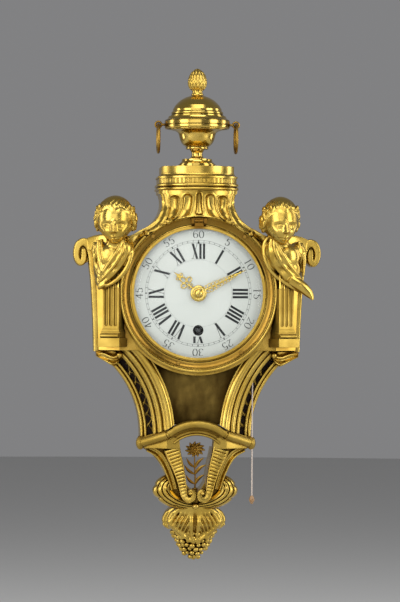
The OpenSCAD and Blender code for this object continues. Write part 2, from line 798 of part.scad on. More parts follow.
module side_scrolls() hung() color(gilt) both() {
    e = [top_half + 11, 34.5];
    difference() {
        union() {
            slab(18, 40) polygon([[low_half, sill_z], [low_half + 4.2, sill_z - 3],
                [top_half + 3.4, 22], [top_half + 4.2, 40], [top_half, shoulder_z]]);
            slab(20, 41) translate(e) scale([0.79, 1]) circle(12.2, $fn = fine);
            slab(20, 41) polygon([[top_half + 0.2, 30], e, [e[0], e[1] + 12], [top_half + 0.2, 42]]);
        }
        slab(39.4, 44) translate(e) polygon(spiral(0.5));
        slab(39.2, 44) polygon([[low_half + 1.2, sill_z + 2], [low_half + 2, sill_z + 2],
            [top_half + 2, 24], [top_half + 1.2, 24]]);
        translate([0, 0, -80]) linear_extrude(160) intersection() {
            plan(0, over);
            translate([-top_half, -60]) square([2 * top_half, 62]);
        }
        slab(0, 60) polygon([[0, sill_z - 4], [low_half, sill_z - 4], [low_half, sill_z], [top_half, shoulder_z],
            [0, shoulder_z]]);
    }
}

module arch_cornice() hung() color(gilt) {
    translate([0, 0, arch_z]) {
        spun_arc(90 - arch_half, 90 + arch_half) translate([arch_r, arch_d]) circle(roll_r, $fn = low);
        spun_arc(90 - arch_half, 90 + arch_half) translate([arch_r - 10, bed_d - 2]) square([9, arch_d - bed_d + 1]);
        spun_arc(90 - arch_half, 90 + arch_half) translate([arch_r - 3.5, bed_d - 2]) square([3.4, arch_d - bed_d + 2]);
    }
    both() {
        translate(roll_start) rotate([90, 0, 0]) sphere(joint_r, $fn = low);
        rod(roll_start, roll_stop, roll_r);
        rod(roll_stop, roll_stop + roll_dir * cap_t, cap_r);
        rod(roll_stop + roll_dir * (cap_t - 0.2), roll_stop + roll_dir * (cap_t + boss_t), boss_r);
        slab(0, bed_d) difference() {
            polygon([[12, bed_z], [bed_half, bed_z], [bed_half, leg_cut_z - (bed_half - leg_cut_x) * leg_slope],
                [leg_cut_x, leg_cut_z], [12, leg_cut_z - 4]]);
            translate([0, arch_z]) circle(arch_r - 9, $fn = fine);
            translate([0, bed_z - over]) square([13.8, 10]);
        }
    }
}

module low_outline() {
    difference() {
        translate([-low_half_w, low_end]) square([2 * low_half_w, bed_z - low_end]);
        both() translate([cheek_cx, cheek_cz]) circle(cheek_r, $fn = fine);
        polygon(concat(open_pts, [for (i = [len(open_pts) - 2:-1:0]) [-open_pts[i][0], open_pts[i][1]]]));
    }
}

module lower_case() hung() color(gilt) difference() {
    union() {
        slab(0, low_d) low_outline();
        both() intersection() {
            translate([cheek_cx, 0, cheek_cz]) spun_arc(118, 160) translate([cheek_r + 0.5, low_d - over]) {
                square([3.2, 2 + over]);
                translate([1.6, 2 + over]) circle(1.4, $fn = low);
            }
            slab(0, low_d + 6) translate([0, low_end]) square([low_half_w, bed_z - low_end]);
        }
    }
    post(0, -172, low_d - 5, low_d + over, 1);
    both() cap_room();
}

module console2d() {
    polygon(con_pts);
    translate(con_scroll) circle(con_scroll_r, $fn = mid);
}

module console() {
    slab(low_d, con_d) difference() {
        console2d();
        translate([-20, -200]) square([20.15, 100]);
    }
    intersection() {
        slab(con_d - over, con_d + 3) console2d();
        for (i = [0:8]) rod([4, -con_d, bed_z - 3 - i * 3], [30, -con_d, bed_z - 2 - i * 3], 1.2);
    }
    translate([con_scroll[0], 0, con_scroll[1]]) difference() {
        post(0, 0, con_d - over, con_d + 1.6, 3.2);
        post(0, 0, con_d, con_d + 2, 1.2);
    }
}

module consoles() hung() color(gilt) both() console();

// Leaf outline from two arcs
module leaf2d(l, w) {
    r = (l * l / 4 + w * w / 4) / w;
    intersection() {
        translate([r - w / 2, l / 2]) circle(r, $fn = mid);
        translate([w / 2 - r, l / 2]) circle(r, $fn = mid);
    }
}

module flower_sprig() hung() color(gilt) translate([0, 0, -160]) {
    slab(low_d - 6, low_d - 2) translate([0, fit]) polygon([[0, 0], [3, 3 * foot_rise], [3, 2.2], [-3, 2.2], [-3, 3 * foot_rise]]);
    slab(low_d - 4, low_d - 2.4) translate([-0.6, 0]) square([1.2, 31]);
    for (i = [0:2]) both() slab(low_d - 3.6, low_d - 2.2) translate([0.2, 5 + i * 7])
        rotate([0, 0, -48 + i * 6]) leaf2d(8.5 - i * 0.6, 3);
    post(0, 32, low_d - 4, low_d + 0.6, 2);
    for (i = [0:9]) slab(low_d - 3.4, low_d - 1.8) translate([0, 32]) rotate([0, 0, i * 36]) leaf2d(5.6, 2.4);
}

module acanthus_leaves() hung() color(gilt) both() difference() {
    slab(low_d, low_d + 9) difference() {
        union() {
            for (c = [[18, -153.5, 5.4], [24.6, -159.5, 9.2], [18, -165, 8], [11, -170, 4]])
                translate([c[0], c[1]]) circle(c[2], $fn = mid);
            translate([0.1, low_end]) square([16, 6]);
        }
        translate([0, -240]) square([60, 240 + low_end]);
        offset(0.3) console2d();
        translate([0, -172]) circle(2.8, $fn = mid);
    }
    for (c = [[25.5, -159, 5.6], [17.5, -166, 4]]) translate([0, 0, 0]) post(c[0], c[1], low_d + 6.5, low_d + 10, c[2]);
}

module pendant() hung() color(gilt) translate([0, -pendant_d, pendant_z]) rotate([0, 0, 180])
    rotate_extrude(angle = 180, $fn = fine) scale([pendant_r / 25.4, pendant_h / 43.8]) polygon([[0, 0], [19, 0],
        [22, -3.4], [24.4, -7], [25.4, -11], [24.8, -14.6], [22, -17], [18, -18.4], [17.2, -21], [16.8, -24],
        [15.4, -28], [13, -32], [9.6, -36.4], [5.4, -40.6], [2, -43.2], [0, -43.8]]);

module boss_bead() hung() color(gilt) {
    translate([0, -low_d - 2.4, -172]) sphere(2.6, $fn = mid);
    post(0, -172, low_d - 5, low_d, 1);
}

module throat_panel() hung() color(brass) slab(band_d - panel_t, band_d) difference() {
    translate([-40, -106]) square([80, 54]);
    both() translate([leg_cx, leg_cz]) circle(leg_in - 4, $fn = fine);
    translate([0, arch_z]) circle(arch_r + gap, $fn = fine);
}

module back_cover() hung() color(brass) difference() {
    slab(cover_d, cover_d + cover_t) case_outline(wall + 0.2);
    for (z = lug_z) both() post(lug_x(z), z, 0, 5, screw_r);
    for (i = [0:7]) post(-21 + i * 6, -56, 0, 5, 1.8);
}

module cover_screws() hung() color(steel) for (z = lug_z) both() {
    post(lug_x(z), z, cover_d - 1.2, cover_d, screw_head);
    post(lug_x(z), z, cover_d - 0.2, 8.5, screw_r);
    post(neck_half - wall / 2, neck_cz, 0.1, 7.6, plate_screw_r);
}

module ring_screws() hung() color(gilt) for (a = ring_screw_deg) rotate([0, -a, 0]) {
    post(ring_screw_at, 0, case_d + 3.4, case_d + 5.4, ring_screw_r * 1.7 - fit);
    post(ring_screw_at, 0, dial_plate_d, case_d + 3.6, ring_screw_r);
}

module bezel() hung() color(gilt) difference() {
    union() {
        spun() difference() {
            translate([bezel_in, bezel_back]) square([bezel_out - bezel_in, bezel_t]);
            translate([bezel_in - over, bezel_back - over])
                square([glass_r + fit - bezel_in + over, bezel_t - glass_lip + over]);
            translate([bezel_out + 0.4, bezel_back + bezel_t + 0.6]) circle(1.6, $fn = low);
        }
        translate([-knuckle_half, -hinge_d, bezel_out - 1.6])
            cube([2 * knuckle_half, hinge_d - bezel_back - bezel_t + 1, hinge_z - bezel_out + 1.6]);
        rod([-knuckle_half, -hinge_d, hinge_z], [knuckle_half, -hinge_d, hinge_z], knuckle_r);
    }
    rod([-20, -hinge_d, hinge_z], [20, -hinge_d, hinge_z], pin_r + fit);
}

// Section of a shallow dome
module dome2d(r, rise, t, d) {
    big = (r * r + rise * rise) / (2 * rise);
    intersection() {
        translate([0, d - t - over]) square([r, rise + t + 2 * over]);
        translate([0, d + rise - big]) difference() {
            circle(big, $fn = fine);
            circle(big - t, $fn = fine);
        }
    }
}

module glass() hung() color("lightblue", 0.3) spun() {
    translate([bezel_in - 0.6, glass_back]) square([glass_r - bezel_in + 0.6, glass_t]);
    dome2d(bezel_in - 0.5, glass_rise, glass_t, glass_back + glass_t);
}

module hinge_pin() hung() color(steel)
    rod([-knuckle_half - 0.4 - ear_w, -hinge_d, hinge_z], [knuckle_half + 0.4 + ear_w, -hinge_d, hinge_z], pin_r);

module dial() hung() color("white") difference() {
    spun() {
        dome2d(dial_r + 0.6, dial_rise, dial_t, dial_seat + dial_t);
        translate([dial_r - 0.6, dial_seat]) square([1.2, dial_t * 0.8]);
    }
    post(0, 0, 0, 90, pipe_out + 0.5);
    post(0, -wind_dz, 0, 90, 4.3);
}

module dial_plate() hung() color(brass) difference() {
    union() {
        post(0, 0, dial_plate_d, ring_back, ring_in + 6);
        spun() translate([dial_r - 3, ring_back - eps]) square([3.6, dial_seat - ring_back + eps]);
        for (a = feet_deg) rotate([0, -a, 0]) {
            post(pillar_at - 2, 0, front_f, dial_plate_d + eps, 2.2);
            post(pillar_at - 2, 0, front_b - 1.2, front_f + eps, 1);
        }
    }
    post(0, 0, dial_plate_d - over, dial_seat + over, 6);
    post(0, -wind_dz, dial_plate_d - over, dial_seat + over, 4.8);
    for (a = ring_screw_deg) rotate([0, -a, 0])
        post(ring_screw_at, 0, dial_plate_d - over, dial_seat + over, ring_screw_r);
}

// Ring-shaped link of a pierced hand
module link2d(s, r, w) {
    translate([0, s]) difference() {
        circle(r, $fn = low);
        circle(r - w, $fn = low);
    }
}

module hour_hand() hung() color(gilt) rotate([0, hour_deg, 0]) slab(hour_hand_d, hour_hand_d + hand_t) difference() {
    union() {
        circle(5.6, $fn = mid);
        translate([-1.1, 4]) square([2.2, 10]);
        link2d(16.5, 3, 1);
        for (u = [-1, 1]) translate([u * 3.4, 0]) link2d(12.8, 2.4, 0.9);
        polygon([[-1.5, 18.8], [1.5, 18.8], [2.2, 21], [0, hour_len], [-2.2, 21]]);
    }
    circle(pipe_out, $fn = mid);
}

module minute_hand() hung() color(gilt) rotate([0, minute_deg, 0])
    slab(minute_hand_d, minute_hand_d + hand_t) difference() {
        union() {
            circle(4.8, $fn = mid);
            polygon([[-0.8, 4], [0.8, 4], [0.55, minute_len - 4], [0, minute_len], [-0.55, minute_len - 4]]);
            for (u = [-1, 1]) translate([u * 2, 0]) {
                link2d(9.5, 2.3, 0.8);
                link2d(14.5, 2, 0.75);
            }
            link2d(20, 2.6, 0.9);
            link2d(25, 2, 0.8);
            link2d(31, 1.5, 0.7);
        }
        circle(cannon_r, $fn = mid);
    }

module hand_nut() hung() color(brass) difference() {
    spun() {
        translate([0, minute_hand_d + hand_t]) square([3.2, 0.8]);
        intersection() {
            translate([0, minute_hand_d + hand_t]) circle(2.9, $fn = mid);
            translate([0, minute_hand_d + hand_t]) square([3, 3]);
        }
    }
    post(0, 0, 0, minute_hand_d + hand_t + 1.4, arbor_r);
}

// Holes of the arbors in both plates
module pivot_holes(d0, d1) {
    post(0, 0, d0, d1, arbor_r + fit);
    for (p = [[inter_x, inter_z], [third_x, third_z], [0, escape_z], [hammer_x, hammer_z], [pulley_x, pulley_z]])
        post(p[0], p[1], d0, d1, pivot_r + fit);
    post(0, anchor_z, d0, d1, arbor_r + fit);
    for (a = pillar_deg) rotate([0, -a, 0]) post(pillar_at, 0, d0, d1, 1.4);
}

module front_plate() hung() color(brass) difference() {
    post(0, 0, front_b, front_f, plate_r);
    pivot_holes(front_b - over, front_f + over);
    post(0, -wind_dz, front_b - over, front_f + over, wind_r + fit);
    for (a = feet_deg) rotate([0, -a, 0]) post(pillar_at - 2, 0, front_b - over, front_f + over, 1);
    post(motion_x, motion_z, front_b - over, front_f + over, pivot_r + fit);
    post(11.5, -wind_dz + 6, front_b - over, front_f + over, 1);
}

module back_plate() hung() color(brass) difference() {
    post(0, 0, back_d, back_f, plate_r);
    pivot_holes(back_d - over, back_f + over);
    post(0, -wind_dz, back_d - over, back_f + over, 2 + fit);
    post(0, -plate_r + 5, back_d - over, back_f + over, 1.2);
    both() post(5, anchor_z + 5.6, back_d - over, back_f + over, 1.2);
}

module pillars() hung() color(brass) for (a = pillar_deg) rotate([0, -a, 0]) {
    post(pillar_at, 0, back_f, front_b, pillar_r);
    post(pillar_at, 0, back_d - 1.4, front_f + 1, 1.4);
    post(pillar_at, 0, front_f, front_f + 1, 2.2);
    post(pillar_at, 0, back_d - 1.4, back_d, 2.2);
}

module barrel() hung() color(brass) translate([0, 0, -wind_dz]) difference() {
    union() {
        slab(great_d, great_d + great_t) rotate([0, 0, barrel_deg]) wheel2d(barrel_n, barrel_m);
        post(0, 0, great_d + eps, great_d + great_t + drum_h, drum_r);
    }
    difference() {
        post(0, 0, great_d + great_t, great_d + great_t + drum_h - 1, drum_r - 1.2);
        post(0, 0, 0, great_d + great_t, drum_r);
    }
    post(0, 0, great_d - over, great_d + great_t + drum_h + over, wind_r + fit);
    post(10, 0, great_d + great_t + drum_h - 2, great_d + great_t + drum_h + over, 1.5);
}

// Coiled spring strip inside the barrel
module mainspring() hung() color(steel) translate([0, 0, -wind_dz])
    slab(great_d + great_t + 0.2, great_d + great_t + drum_h - 1.4) polygon(concat(
        [for (a = [0:15:1980]) polar(drum_r - 2.2 - a * 0.0042, a)],
        [for (a = [1980:-15:0]) polar(drum_r - 2.7 - a * 0.0042, a)]));

module winding_arbor() hung() color(steel) translate([0, 0, -wind_dz]) {
    post(0, 0, back_d + 0.2, back_f + 1, 2);
    post(0, 0, back_f + 0.2, front_f + 0.6, wind_r);
    post(0, 0, front_f, front_f + 3, 2.4);
    slab(ratchet_d, ratchet_d + 1.6) polygon([for (i = [0:ratchet_n - 1]) for (q = [
        polar(ratchet_r - 1, i * 360 / ratchet_n), polar(ratchet_r, i * 360 / ratchet_n)]) q]);
    slab(front_f + 1, dial_seat + dial_t * 0.5) square(square_w, center = true);
}

module click() hung() color(steel) translate([11.5, 0, -wind_dz + 6]) {
    slab(ratchet_d, ratchet_d + 1.4) {
        circle(2.2, $fn = mid);
        polygon([[-1.4, -1.6], [1.8, -1], [-1.2, -6.2], [-4.15, -7]]);
    }
    post(0, 0, front_b + 0.3, ratchet_d + 2, 1 - fit);
}

module intermediate_wheel() hung() color(brass) translate([inter_x, 0, inter_z]) {
    wheel(inter_n, inter_m, inter_deg + 180, inter_d, wheel_t, 3.4, 5);
    pinion(inter_leaf, barrel_m, barrel_deg + 180, great_d - pin_over, great_d + great_t + pin_over);
    post(0, 0, back_d + 0.2, front_f - 0.2, pivot_r);
    post(0, 0, back_f + gap, front_b - gap, 1.3);
}

module centre_wheel() hung() color(brass) {
    wheel(centre_n, centre_m, third_deg, centre_d, wheel_t, 4, 5);
    pinion(centre_leaf, inter_m, inter_deg, inter_d - pin_over, inter_d + wheel_t + pin_over);
    post(0, 0, back_d + 0.2, minute_hand_d + hand_t + 1.4, arbor_r);
    post(0, 0, back_f + gap, inter_d, 1.5);
    post(0, 0, inter_d + wheel_t, front_b - gap, 1.5);
}

module cannon_pinion() hung() color(brass) difference() {
    union() {
        pinion(cannon_n, motion_m, motion_deg, cannon_d, cannon_d + cannon_t);
        post(0, 0, front_f + 0.4, minute_hand_d + hand_t, cannon_r);
    }
    post(0, 0, front_f, minute_hand_d + hand_t + over, arbor_r);
}

module minute_wheel() hung() color(brass) translate([motion_x, 0, motion_z]) {
    wheel(minute_n, motion_m, motion_deg + 180, cannon_d + 0.6, wheel_t, 3.6, 4);
    pinion(minute_leaf, motion_m2, motion_deg + 180, cannon_d + 0.6, hour_d + wheel_t + pin_over);
    post(0, 0, front_b + 0.2, hour_d + wheel_t + pin_over + 0.4, pivot_r);
}

module hour_wheel() hung() color(brass) difference() {
    union() {
        wheel(hour_n, motion_m2, motion_deg, hour_d, wheel_t, 4.4, 4);
        post(0, 0, hour_d - 0.2, hour_hand_d + hand_t, pipe_out);
    }
    post(0, 0, hour_d - over, hour_hand_d + hand_t + over, pipe_in);
}

module third_wheel() hung() color(brass) translate([third_x, 0, third_z]) {
    wheel(third_n, third_m, escape_deg, third_d, wheel_t, 3, 5);
    pinion(third_leaf, centre_m, third_deg + 180, centre_d - pin_over, centre_d + wheel_t + pin_over);
    post(0, 0, back_d + 0.2, front_f - 0.2, pivot_r);
    post(0, 0, back_f + gap, front_b - gap, 0.85);
}

module escape_wheel() hung() color(brass) translate([0, 0, escape_z]) {
    slab(escape_d, escape_d + wheel_t) difference() {
        polygon([for (i = [0:escape_n - 1]) for (q = [polar(escape_r - 1.4, i * 360 / escape_n),
            polar(escape_r, (i + 0.46) * 360 / escape_n), polar(escape_r, (i + 0.56) * 360 / escape_n),
            polar(escape_r - 1.4, (i + 0.62) * 360 / escape_n)]) q]);
        difference() {
            circle(escape_r - 2.8, $fn = mid);
            circle(2.4, $fn = mid);
            for (i = [0:3]) rotate([0, 0, i * 90]) translate([0, -0.6]) square([escape_r - 2, 1.2]);
        }
    }
    pinion(escape_leaf, third_m, escape_deg + 180, third_d - pin_over, third_d + wheel_t + pin_over);
    post(0, 0, back_d + 0.2, front_f - 0.2, pivot_r);
    post(0, 0, back_f + gap, front_b - gap, 0.85);
}

module anchor() hung() color(steel) translate([0, 0, anchor_z]) {
    slab(escape_d, escape_d + wheel_t) difference() {
        union() {
            circle(2.6, $fn = mid);
            polygon([[-1, 2.4], [1, 2.4], [8.6, -2.2], [9.3, -7.6], [8.2, -8.2], [6.6, -3.2], [0, 0],
                [-6.6, -3.2], [-8.2, -8.2], [-9.3, -7.6], [-8.6, -2.2]]);
        }
        translate([0, -13]) circle(escape_r + 0.8, $fn = fine);
    }
    post(0, 0, crutch_d, front_f - 0.2, arbor_r);
    slab(crutch_d, crutch_d + 1.4) polygon([[-1.4, 0], [1.4, 0], [2.6, -24], [-2.6, -24]]);
    both() post(rod_w + 1, -23, pend_d - 1.4, crutch_d + eps, 0.6);
}

module pendulum() hung() color(brass) translate([0, 0, anchor_z]) {
    post(0, 0, pend_d - 2.5, pend_d + 2.5, arbor_r);
    rod([0, -pend_d, 0], [0, -pend_d, -pend_len + bob_r / 2], rod_w);
    translate([0, -pend_d, -pend_len]) rotate([90, 0, 0]) rotate_extrude($fn = fine)
        polygon([for (a = [-90:15:90]) [bob_r * cos(a), bob_t / 2 * sin(a)]]);
}

module pendulum_cock() hung() color(brass) translate([0, 0, anchor_z]) difference() {
    union() {
        slab(pend_d - 2.5, back_d) translate([-7.5, 3.4]) square([15, 4.4]);
        for (d = [pend_d - 2.5, pend_d + 1.2]) slab(d, d + 1.3) polygon([[-3, 5], [3, 5], [2.6, -2.4], [-2.6, -2.4]]);
        both() post(5, 5.6, back_d - over, back_f + 1, 1.2);
        both() post(5, 5.6, back_f, back_f + 1, 2);
    }
    post(0, 0, 0, back_d, arbor_r + fit);
}

module bell() hung() color(brass) translate([0, 0, bell_z]) spun() translate([0, bell_d]) difference() {
    polygon([[1.6, 0], [6, 0], [11, 1.4], [14.6, 3.8], [16.6, 7], [bell_r - 0.6, bell_h - 1.6], [bell_r, bell_h],
        [bell_r - bell_t, bell_h], [15.2, 7.2], [13.4, 4.6], [10.2, 2.5], [5.8, bell_t], [1.6, bell_t]]);
    translate([-2, -1]) square([3.6, 4]);
}

module bell_stand() hung() color(brass) {
    slab(back_d - 1.6, back_d) translate([-3, bell_z - 4]) square([6, 12 - plate_r - bell_z]);
    post(0, bell_z, back_d - eps, bell_d, 3.4);
    post(0, bell_z, bell_d - eps, bell_d + 3, 1.6);
    post(0, bell_z, bell_d + bell_t, bell_d + 3, 3);
    post(0, -plate_r + 5, back_d - 2.8, back_f, 1.2);
    post(0, -plate_r + 5, back_d - 2.8, back_d - 1.6, 2.2);
}

module hammer() hung() color(steel) {
    post(hammer_x, hammer_z, back_d + 0.2, front_f - 0.2, pivot_r);
    post(hammer_x, hammer_z, back_f + gap, front_b - gap, 1.3);
    rod([hammer_x, -bell_d - 7, hammer_z], [hammer_at[0], -bell_d - 7, hammer_at[1]], 0.9);
    post(hammer_at[0], hammer_at[1], bell_d + 3.5, bell_d + 10.5, hammer_head);
}

module repeat_pulley() hung() color(brass) translate([pulley_x, 0, pulley_z]) {
    spun() difference() {
        translate([0, pulley_d - pulley_t / 2]) square([pulley_r + 1, pulley_t]);
        translate([pulley_r + cord_dia / 2, pulley_d]) circle(cord_dia / 2 + gap, $fn = low);
    }
    post(0, 0, back_d + 0.2, front_f - 0.2, pivot_r);
    post(0, 0, back_f + gap, pulley_d, 1.6);
    spun() translate([pulley_r + 0.2, pulley_d - 1.6]) square([0.8, 0.2]);
}

module repeat_cord() hung() color("ivory")
    translate([cord_x, -pulley_d, bead_z]) cylinder(h = pulley_z - bead_z, r = cord_dia / 2, $fn = low);

module cord_bead() hung() color("saddlebrown") translate([cord_x, -pulley_d, bead_z - bead_h / 2]) {
    scale([1, 1, bead_h / bead_dia]) sphere(bead_dia / 2, $fn = mid);
}

case_body();
legs();
side_frets();
frieze();
plinth();
hanging_plate();
urn_foot();
urn_bowl();
urn_lid();
pinecone();
urn_tie_rod();
ring_eyes();
ring_left();
ring_right();
pilasters();
bust_left();
bust_right();
side_scrolls();
arch_cornice();
lower_case();
consoles();
flower_sprig();
acanthus_leaves();
pendant();
boss_bead();
throat_panel();
back_cover();
cover_screws();
ring_screws();
bezel();
glass();
hinge_pin();
dial();
dial_plate();
hour_hand();
minute_hand();
hand_nut();
front_plate();
back_plate();
pillars();
barrel();
mainspring();
winding_arbor();
click();
intermediate_wheel();
centre_wheel();
cannon_pinion();
minute_wheel();
hour_wheel();
third_wheel();
escape_wheel();
anchor();
pendulum();
pendulum_cock();
bell();
bell_stand();
hammer();
repeat_pulley();
repeat_cord();
cord_bead();
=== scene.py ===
# Gilt bronze cartel clock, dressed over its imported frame.
# Depths d are millimetres from the wall, x and z are millimetres from the dial centre.
from math import acos, atan2, cos, exp, hypot, pi, radians, sin, sqrt, tau
import bpy
from mathutils import Matrix, Vector


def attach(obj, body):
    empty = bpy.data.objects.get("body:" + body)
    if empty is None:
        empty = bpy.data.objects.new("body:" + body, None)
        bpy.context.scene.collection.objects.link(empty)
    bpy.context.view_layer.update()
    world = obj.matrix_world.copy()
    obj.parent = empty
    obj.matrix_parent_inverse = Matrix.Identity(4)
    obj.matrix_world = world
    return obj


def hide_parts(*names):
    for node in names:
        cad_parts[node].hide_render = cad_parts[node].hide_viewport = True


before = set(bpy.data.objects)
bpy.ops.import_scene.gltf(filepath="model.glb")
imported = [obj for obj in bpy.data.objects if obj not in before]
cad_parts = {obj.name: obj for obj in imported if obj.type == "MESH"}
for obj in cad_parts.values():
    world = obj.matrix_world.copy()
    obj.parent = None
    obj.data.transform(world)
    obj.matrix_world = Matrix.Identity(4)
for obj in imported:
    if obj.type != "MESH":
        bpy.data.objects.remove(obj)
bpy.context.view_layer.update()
scene = bpy.context.scene
scene.view_settings.view_transform = "Standard"
bpy.ops.object.select_all(action="DESELECT")


# Studio: a pale floor under the hanging clock, a grey room, and soft boxes on both sides.
# The camera stands a little to the left of the dial, level with it, and leans slightly.
hole_to_dial = 75


def at(x, d, z):
    """Place on the clock as a point of the scene, whose origin is the hanging hole."""
    return Vector((x / 1000, -d / 1000, (z - hole_to_dial) / 1000))


bpy.ops.mesh.primitive_circle_add(vertices=96, radius=4, fill_type="NGON", location=(0, 0, -0.42))
floor = bpy.context.object
floor.name = "studio_floor"
paint = bpy.data.materials.new("floor_paint")
paint.use_nodes = True
paint.node_tree.nodes["Principled BSDF"].inputs["Base Color"].default_value = (0.62, 0.62, 0.61, 1)
paint.node_tree.nodes["Principled BSDF"].inputs["Roughness"].default_value = 0.7
floor.data.materials.append(paint)

room = bpy.data.worlds.new("studio_room")
room.use_nodes = True
room.node_tree.nodes["Background"].inputs["Color"].default_value = (0.22, 0.22, 0.225, 1)
scene.world = room

middle = at(0, 30, -20)
for name, spot, width, height, power in (
        ("left_box", (-1, -0.85, 0.25), 0.7, 1.3, 11.5), ("right_box", (1.05, -0.7, 0.15), 0.6, 1.2, 10),
        ("top_box", (0, -0.75, 0.95), 1, 0.6, 7), ("front_box", (-0.3, -1.75, 0.35), 1.3, 1.3, 9),
        ("left_rim", (-1.25, 0.3, 0.1), 0.35, 1.3, 5), ("right_rim", (1.25, 0.3, 0.1), 0.35, 1.3, 5)):
    bpy.ops.object.light_add(type="AREA", location=spot)
    lamp = bpy.context.object
    lamp.name = name
    lamp.data.shape = "RECTANGLE"
    lamp.data.size, lamp.data.size_y, lamp.data.energy = width, height, power
    lamp.rotation_euler = (middle - Vector(spot)).to_track_quat("-Z", "Y").to_euler()

bpy.ops.object.camera_add()
camera = bpy.context.object
camera.name = "photo_camera"
turn, reach, roll = radians(-3.8), 2.4, radians(0.3)
aim = at(3, 30, -6.1)
camera.location = aim + reach * Vector((sin(turn), -cos(turn), 0))
camera.rotation_mode = "QUATERNION"
camera.rotation_quaternion = ((aim - camera.location).to_track_quat("-Z", "Y")
                              @ Matrix.Rotation(roll, 3, "Z").to_quaternion())
camera.data.sensor_width = 36
camera.data.lens = 177
scene.camera = camera


# Case castings: the body, legs, plinth, pilasters, urn and mouldings are sand cast bronze.
# They are chased, fire gilded and burnished, so rounded edges catch the light, and painted shade turns the hollows
# brown.
class Finish:
    """Node material in the making, on object coordinates."""

    def __init__(self, name):
        self.made = bpy.data.materials.new(name)
        self.made.use_nodes = True
        self.nodes, self.link = self.made.node_tree.nodes, self.made.node_tree.links.new
        self.shader = self.nodes["Principled BSDF"]

    def fill(self, node, sockets):
        """Sets sockets by name, each to a value or to the output that it is linked from."""
        for name, value in sockets.items():
            if isinstance(value, bpy.types.NodeSocket):
                self.link(value, node.inputs[name])
            else:
                node.inputs[name].default_value = value

    def add(self, kind, sockets={}, **settings):
        node = self.nodes.new("ShaderNode" + kind)
        for name, value in settings.items():
            setattr(node, name, value)
        self.fill(node, sockets)
        return node.outputs

    def place(self):
        return self.add("TexCoord")["Object"]

    def stretched(self, scale, shift=(0, 0, 0)):
        return self.add("Mapping", {"Vector": self.place(), "Location": shift, "Scale": scale})["Vector"]

    def noise(self, scale, detail, place=None):
        return self.add("TexNoise", {"Scale": scale, "Detail": detail, "Vector": place or self.place()})["Fac"]

    def spread(self, value, low, high, to_low=0, to_high=1):
        return self.add("MapRange", {"Value": value, "From Min": low, "From Max": high, "To Min": to_low,
                                     "To Max": to_high})["Result"]

    def mix(self, share, first, second):
        """Blend of two colours, each a tuple or another node's output."""
        node = self.nodes.new("ShaderNodeMix")
        node.data_type = "RGBA"
        self.link(share, node.inputs["Factor"])
        for name, colour in (("A", first), ("B", second)):
            slot = [s for s in node.inputs if s.name == name and s.type == "RGBA"][0]
            if isinstance(colour, tuple):
                slot.default_value = (*colour, 1)
            else:
                self.link(colour, slot)
        return [s for s in node.outputs if s.type == "RGBA"][0]

    def hollows(self, reach, low, high, alone=False):
        """Share of open air: 0 in hollows and 1 in the open."""
        shade = self.add("AmbientOcclusion", {"Distance": reach}, samples=8, only_local=alone)
        return self.spread(shade["AO"], low, high)

    def bump(self, height, strength, deep, **more):
        return self.add("Bump", {"Height": height, "Strength": strength, "Distance": deep, **more})["Normal"]

    def look(self, colour, rough, **more):
        """Closes the material with what its surface shows."""
        sockets = {name.replace("_", " "): value for name, value in more.items()}
        self.fill(self.shader, {"Base Color": colour, "Roughness": rough, **sockets})
        return self.made


def gilding(name, bright, warm, deep, smooth, rough, hollow=0.006, grain=0.12, edge=0.0005, shade_mask=None, alone=False):
    m = Finish(name)
    patches = m.noise(60, 3)
    # Painted shade: ambient occlusion blends the gold towards the deep colour in hollows, within the given reach.
    colour = m.mix(m.hollows(hollow, 0.25, 0.85, alone), deep, m.mix(m.spread(patches, 0.35, 0.68), bright, warm))
    # Where a shade mask is given, it paints more shade, towards twice the deep colour.
    if shade_mask:
        colour = m.mix(shade_mask(m), colour, tuple(2 * c for c in deep))
    rounded = m.add("Bevel", {"Radius": edge}, samples=4)["Normal"]
    return m.look(colour, m.spread(patches, 0.3, 0.7, smooth, rough), Metallic=1,
                  Normal=m.bump(m.noise(900, 2), grain, 0.0003, Normal=rounded))


def dress(material, *names):
    for name in names:
        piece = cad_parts[name]
        piece.data.materials.clear()
        piece.data.materials.append(material)


def round_dial(m):
    """Painted shade: darkens the cove around the dial door and a patch about its hinge, and darkens the case's flats
    beyond the ring a little.
    """
    far = m.add("VectorMath", {0: m.stretched((1, 0, 1), (0, 0, hole_to_dial / 1000))}, operation="LENGTH")["Value"]
    hinge = m.add("VectorMath", {0: m.place(), 1: at(0, 59.5, 58)}, operation="DISTANCE")["Value"]
    share = m.add("Math", {0: m.spread(far, 0.0553, 0.0566), 1: m.spread(far, 0.0598, 0.0612, 0.75, 0)},
                  operation="MULTIPLY")["Value"]
    for other in (m.spread(hinge, 0.006, 0.010, 1, 0), m.spread(far, 0.0645, 0.067, 0, 0.4)):
        share = m.add("Math", {0: share, 1: other}, operation="MAXIMUM")["Value"]
    return share


# First the painted shade colour for the castings' hollows, then the dial ring's two golds.
cast_shade, ring_gold = (0.085, 0.042, 0.006), ((0.49, 0.33, 0.066), (0.39, 0.25, 0.04))
gilt_cast = gilding("gilt_casting", (0.56, 0.39, 0.085), (0.46, 0.30, 0.05), cast_shade, 0.2, 0.34)
gilt_turned = gilding("gilt_turned_work", (0.60, 0.42, 0.10), (0.50, 0.34, 0.065), (0.10, 0.05, 0.008), 0.12, 0.22,
                      grain=0.05, edge=0.0003)
gilt_ring = gilding("gilt_ring", *ring_gold, cast_shade, 0.2, 0.34, shade_mask=round_dial)
gilt_door = gilding("gilt_door", *ring_gold, cast_shade, 0.2, 0.34, shade_mask=round_dial, alone=True)
gilt_matt = gilding("gilt_matt", (0.37, 0.25, 0.050), (0.29, 0.183, 0.029), (0.09, 0.046, 0.007), 0.36, 0.5,
                    hollow=0.0022)
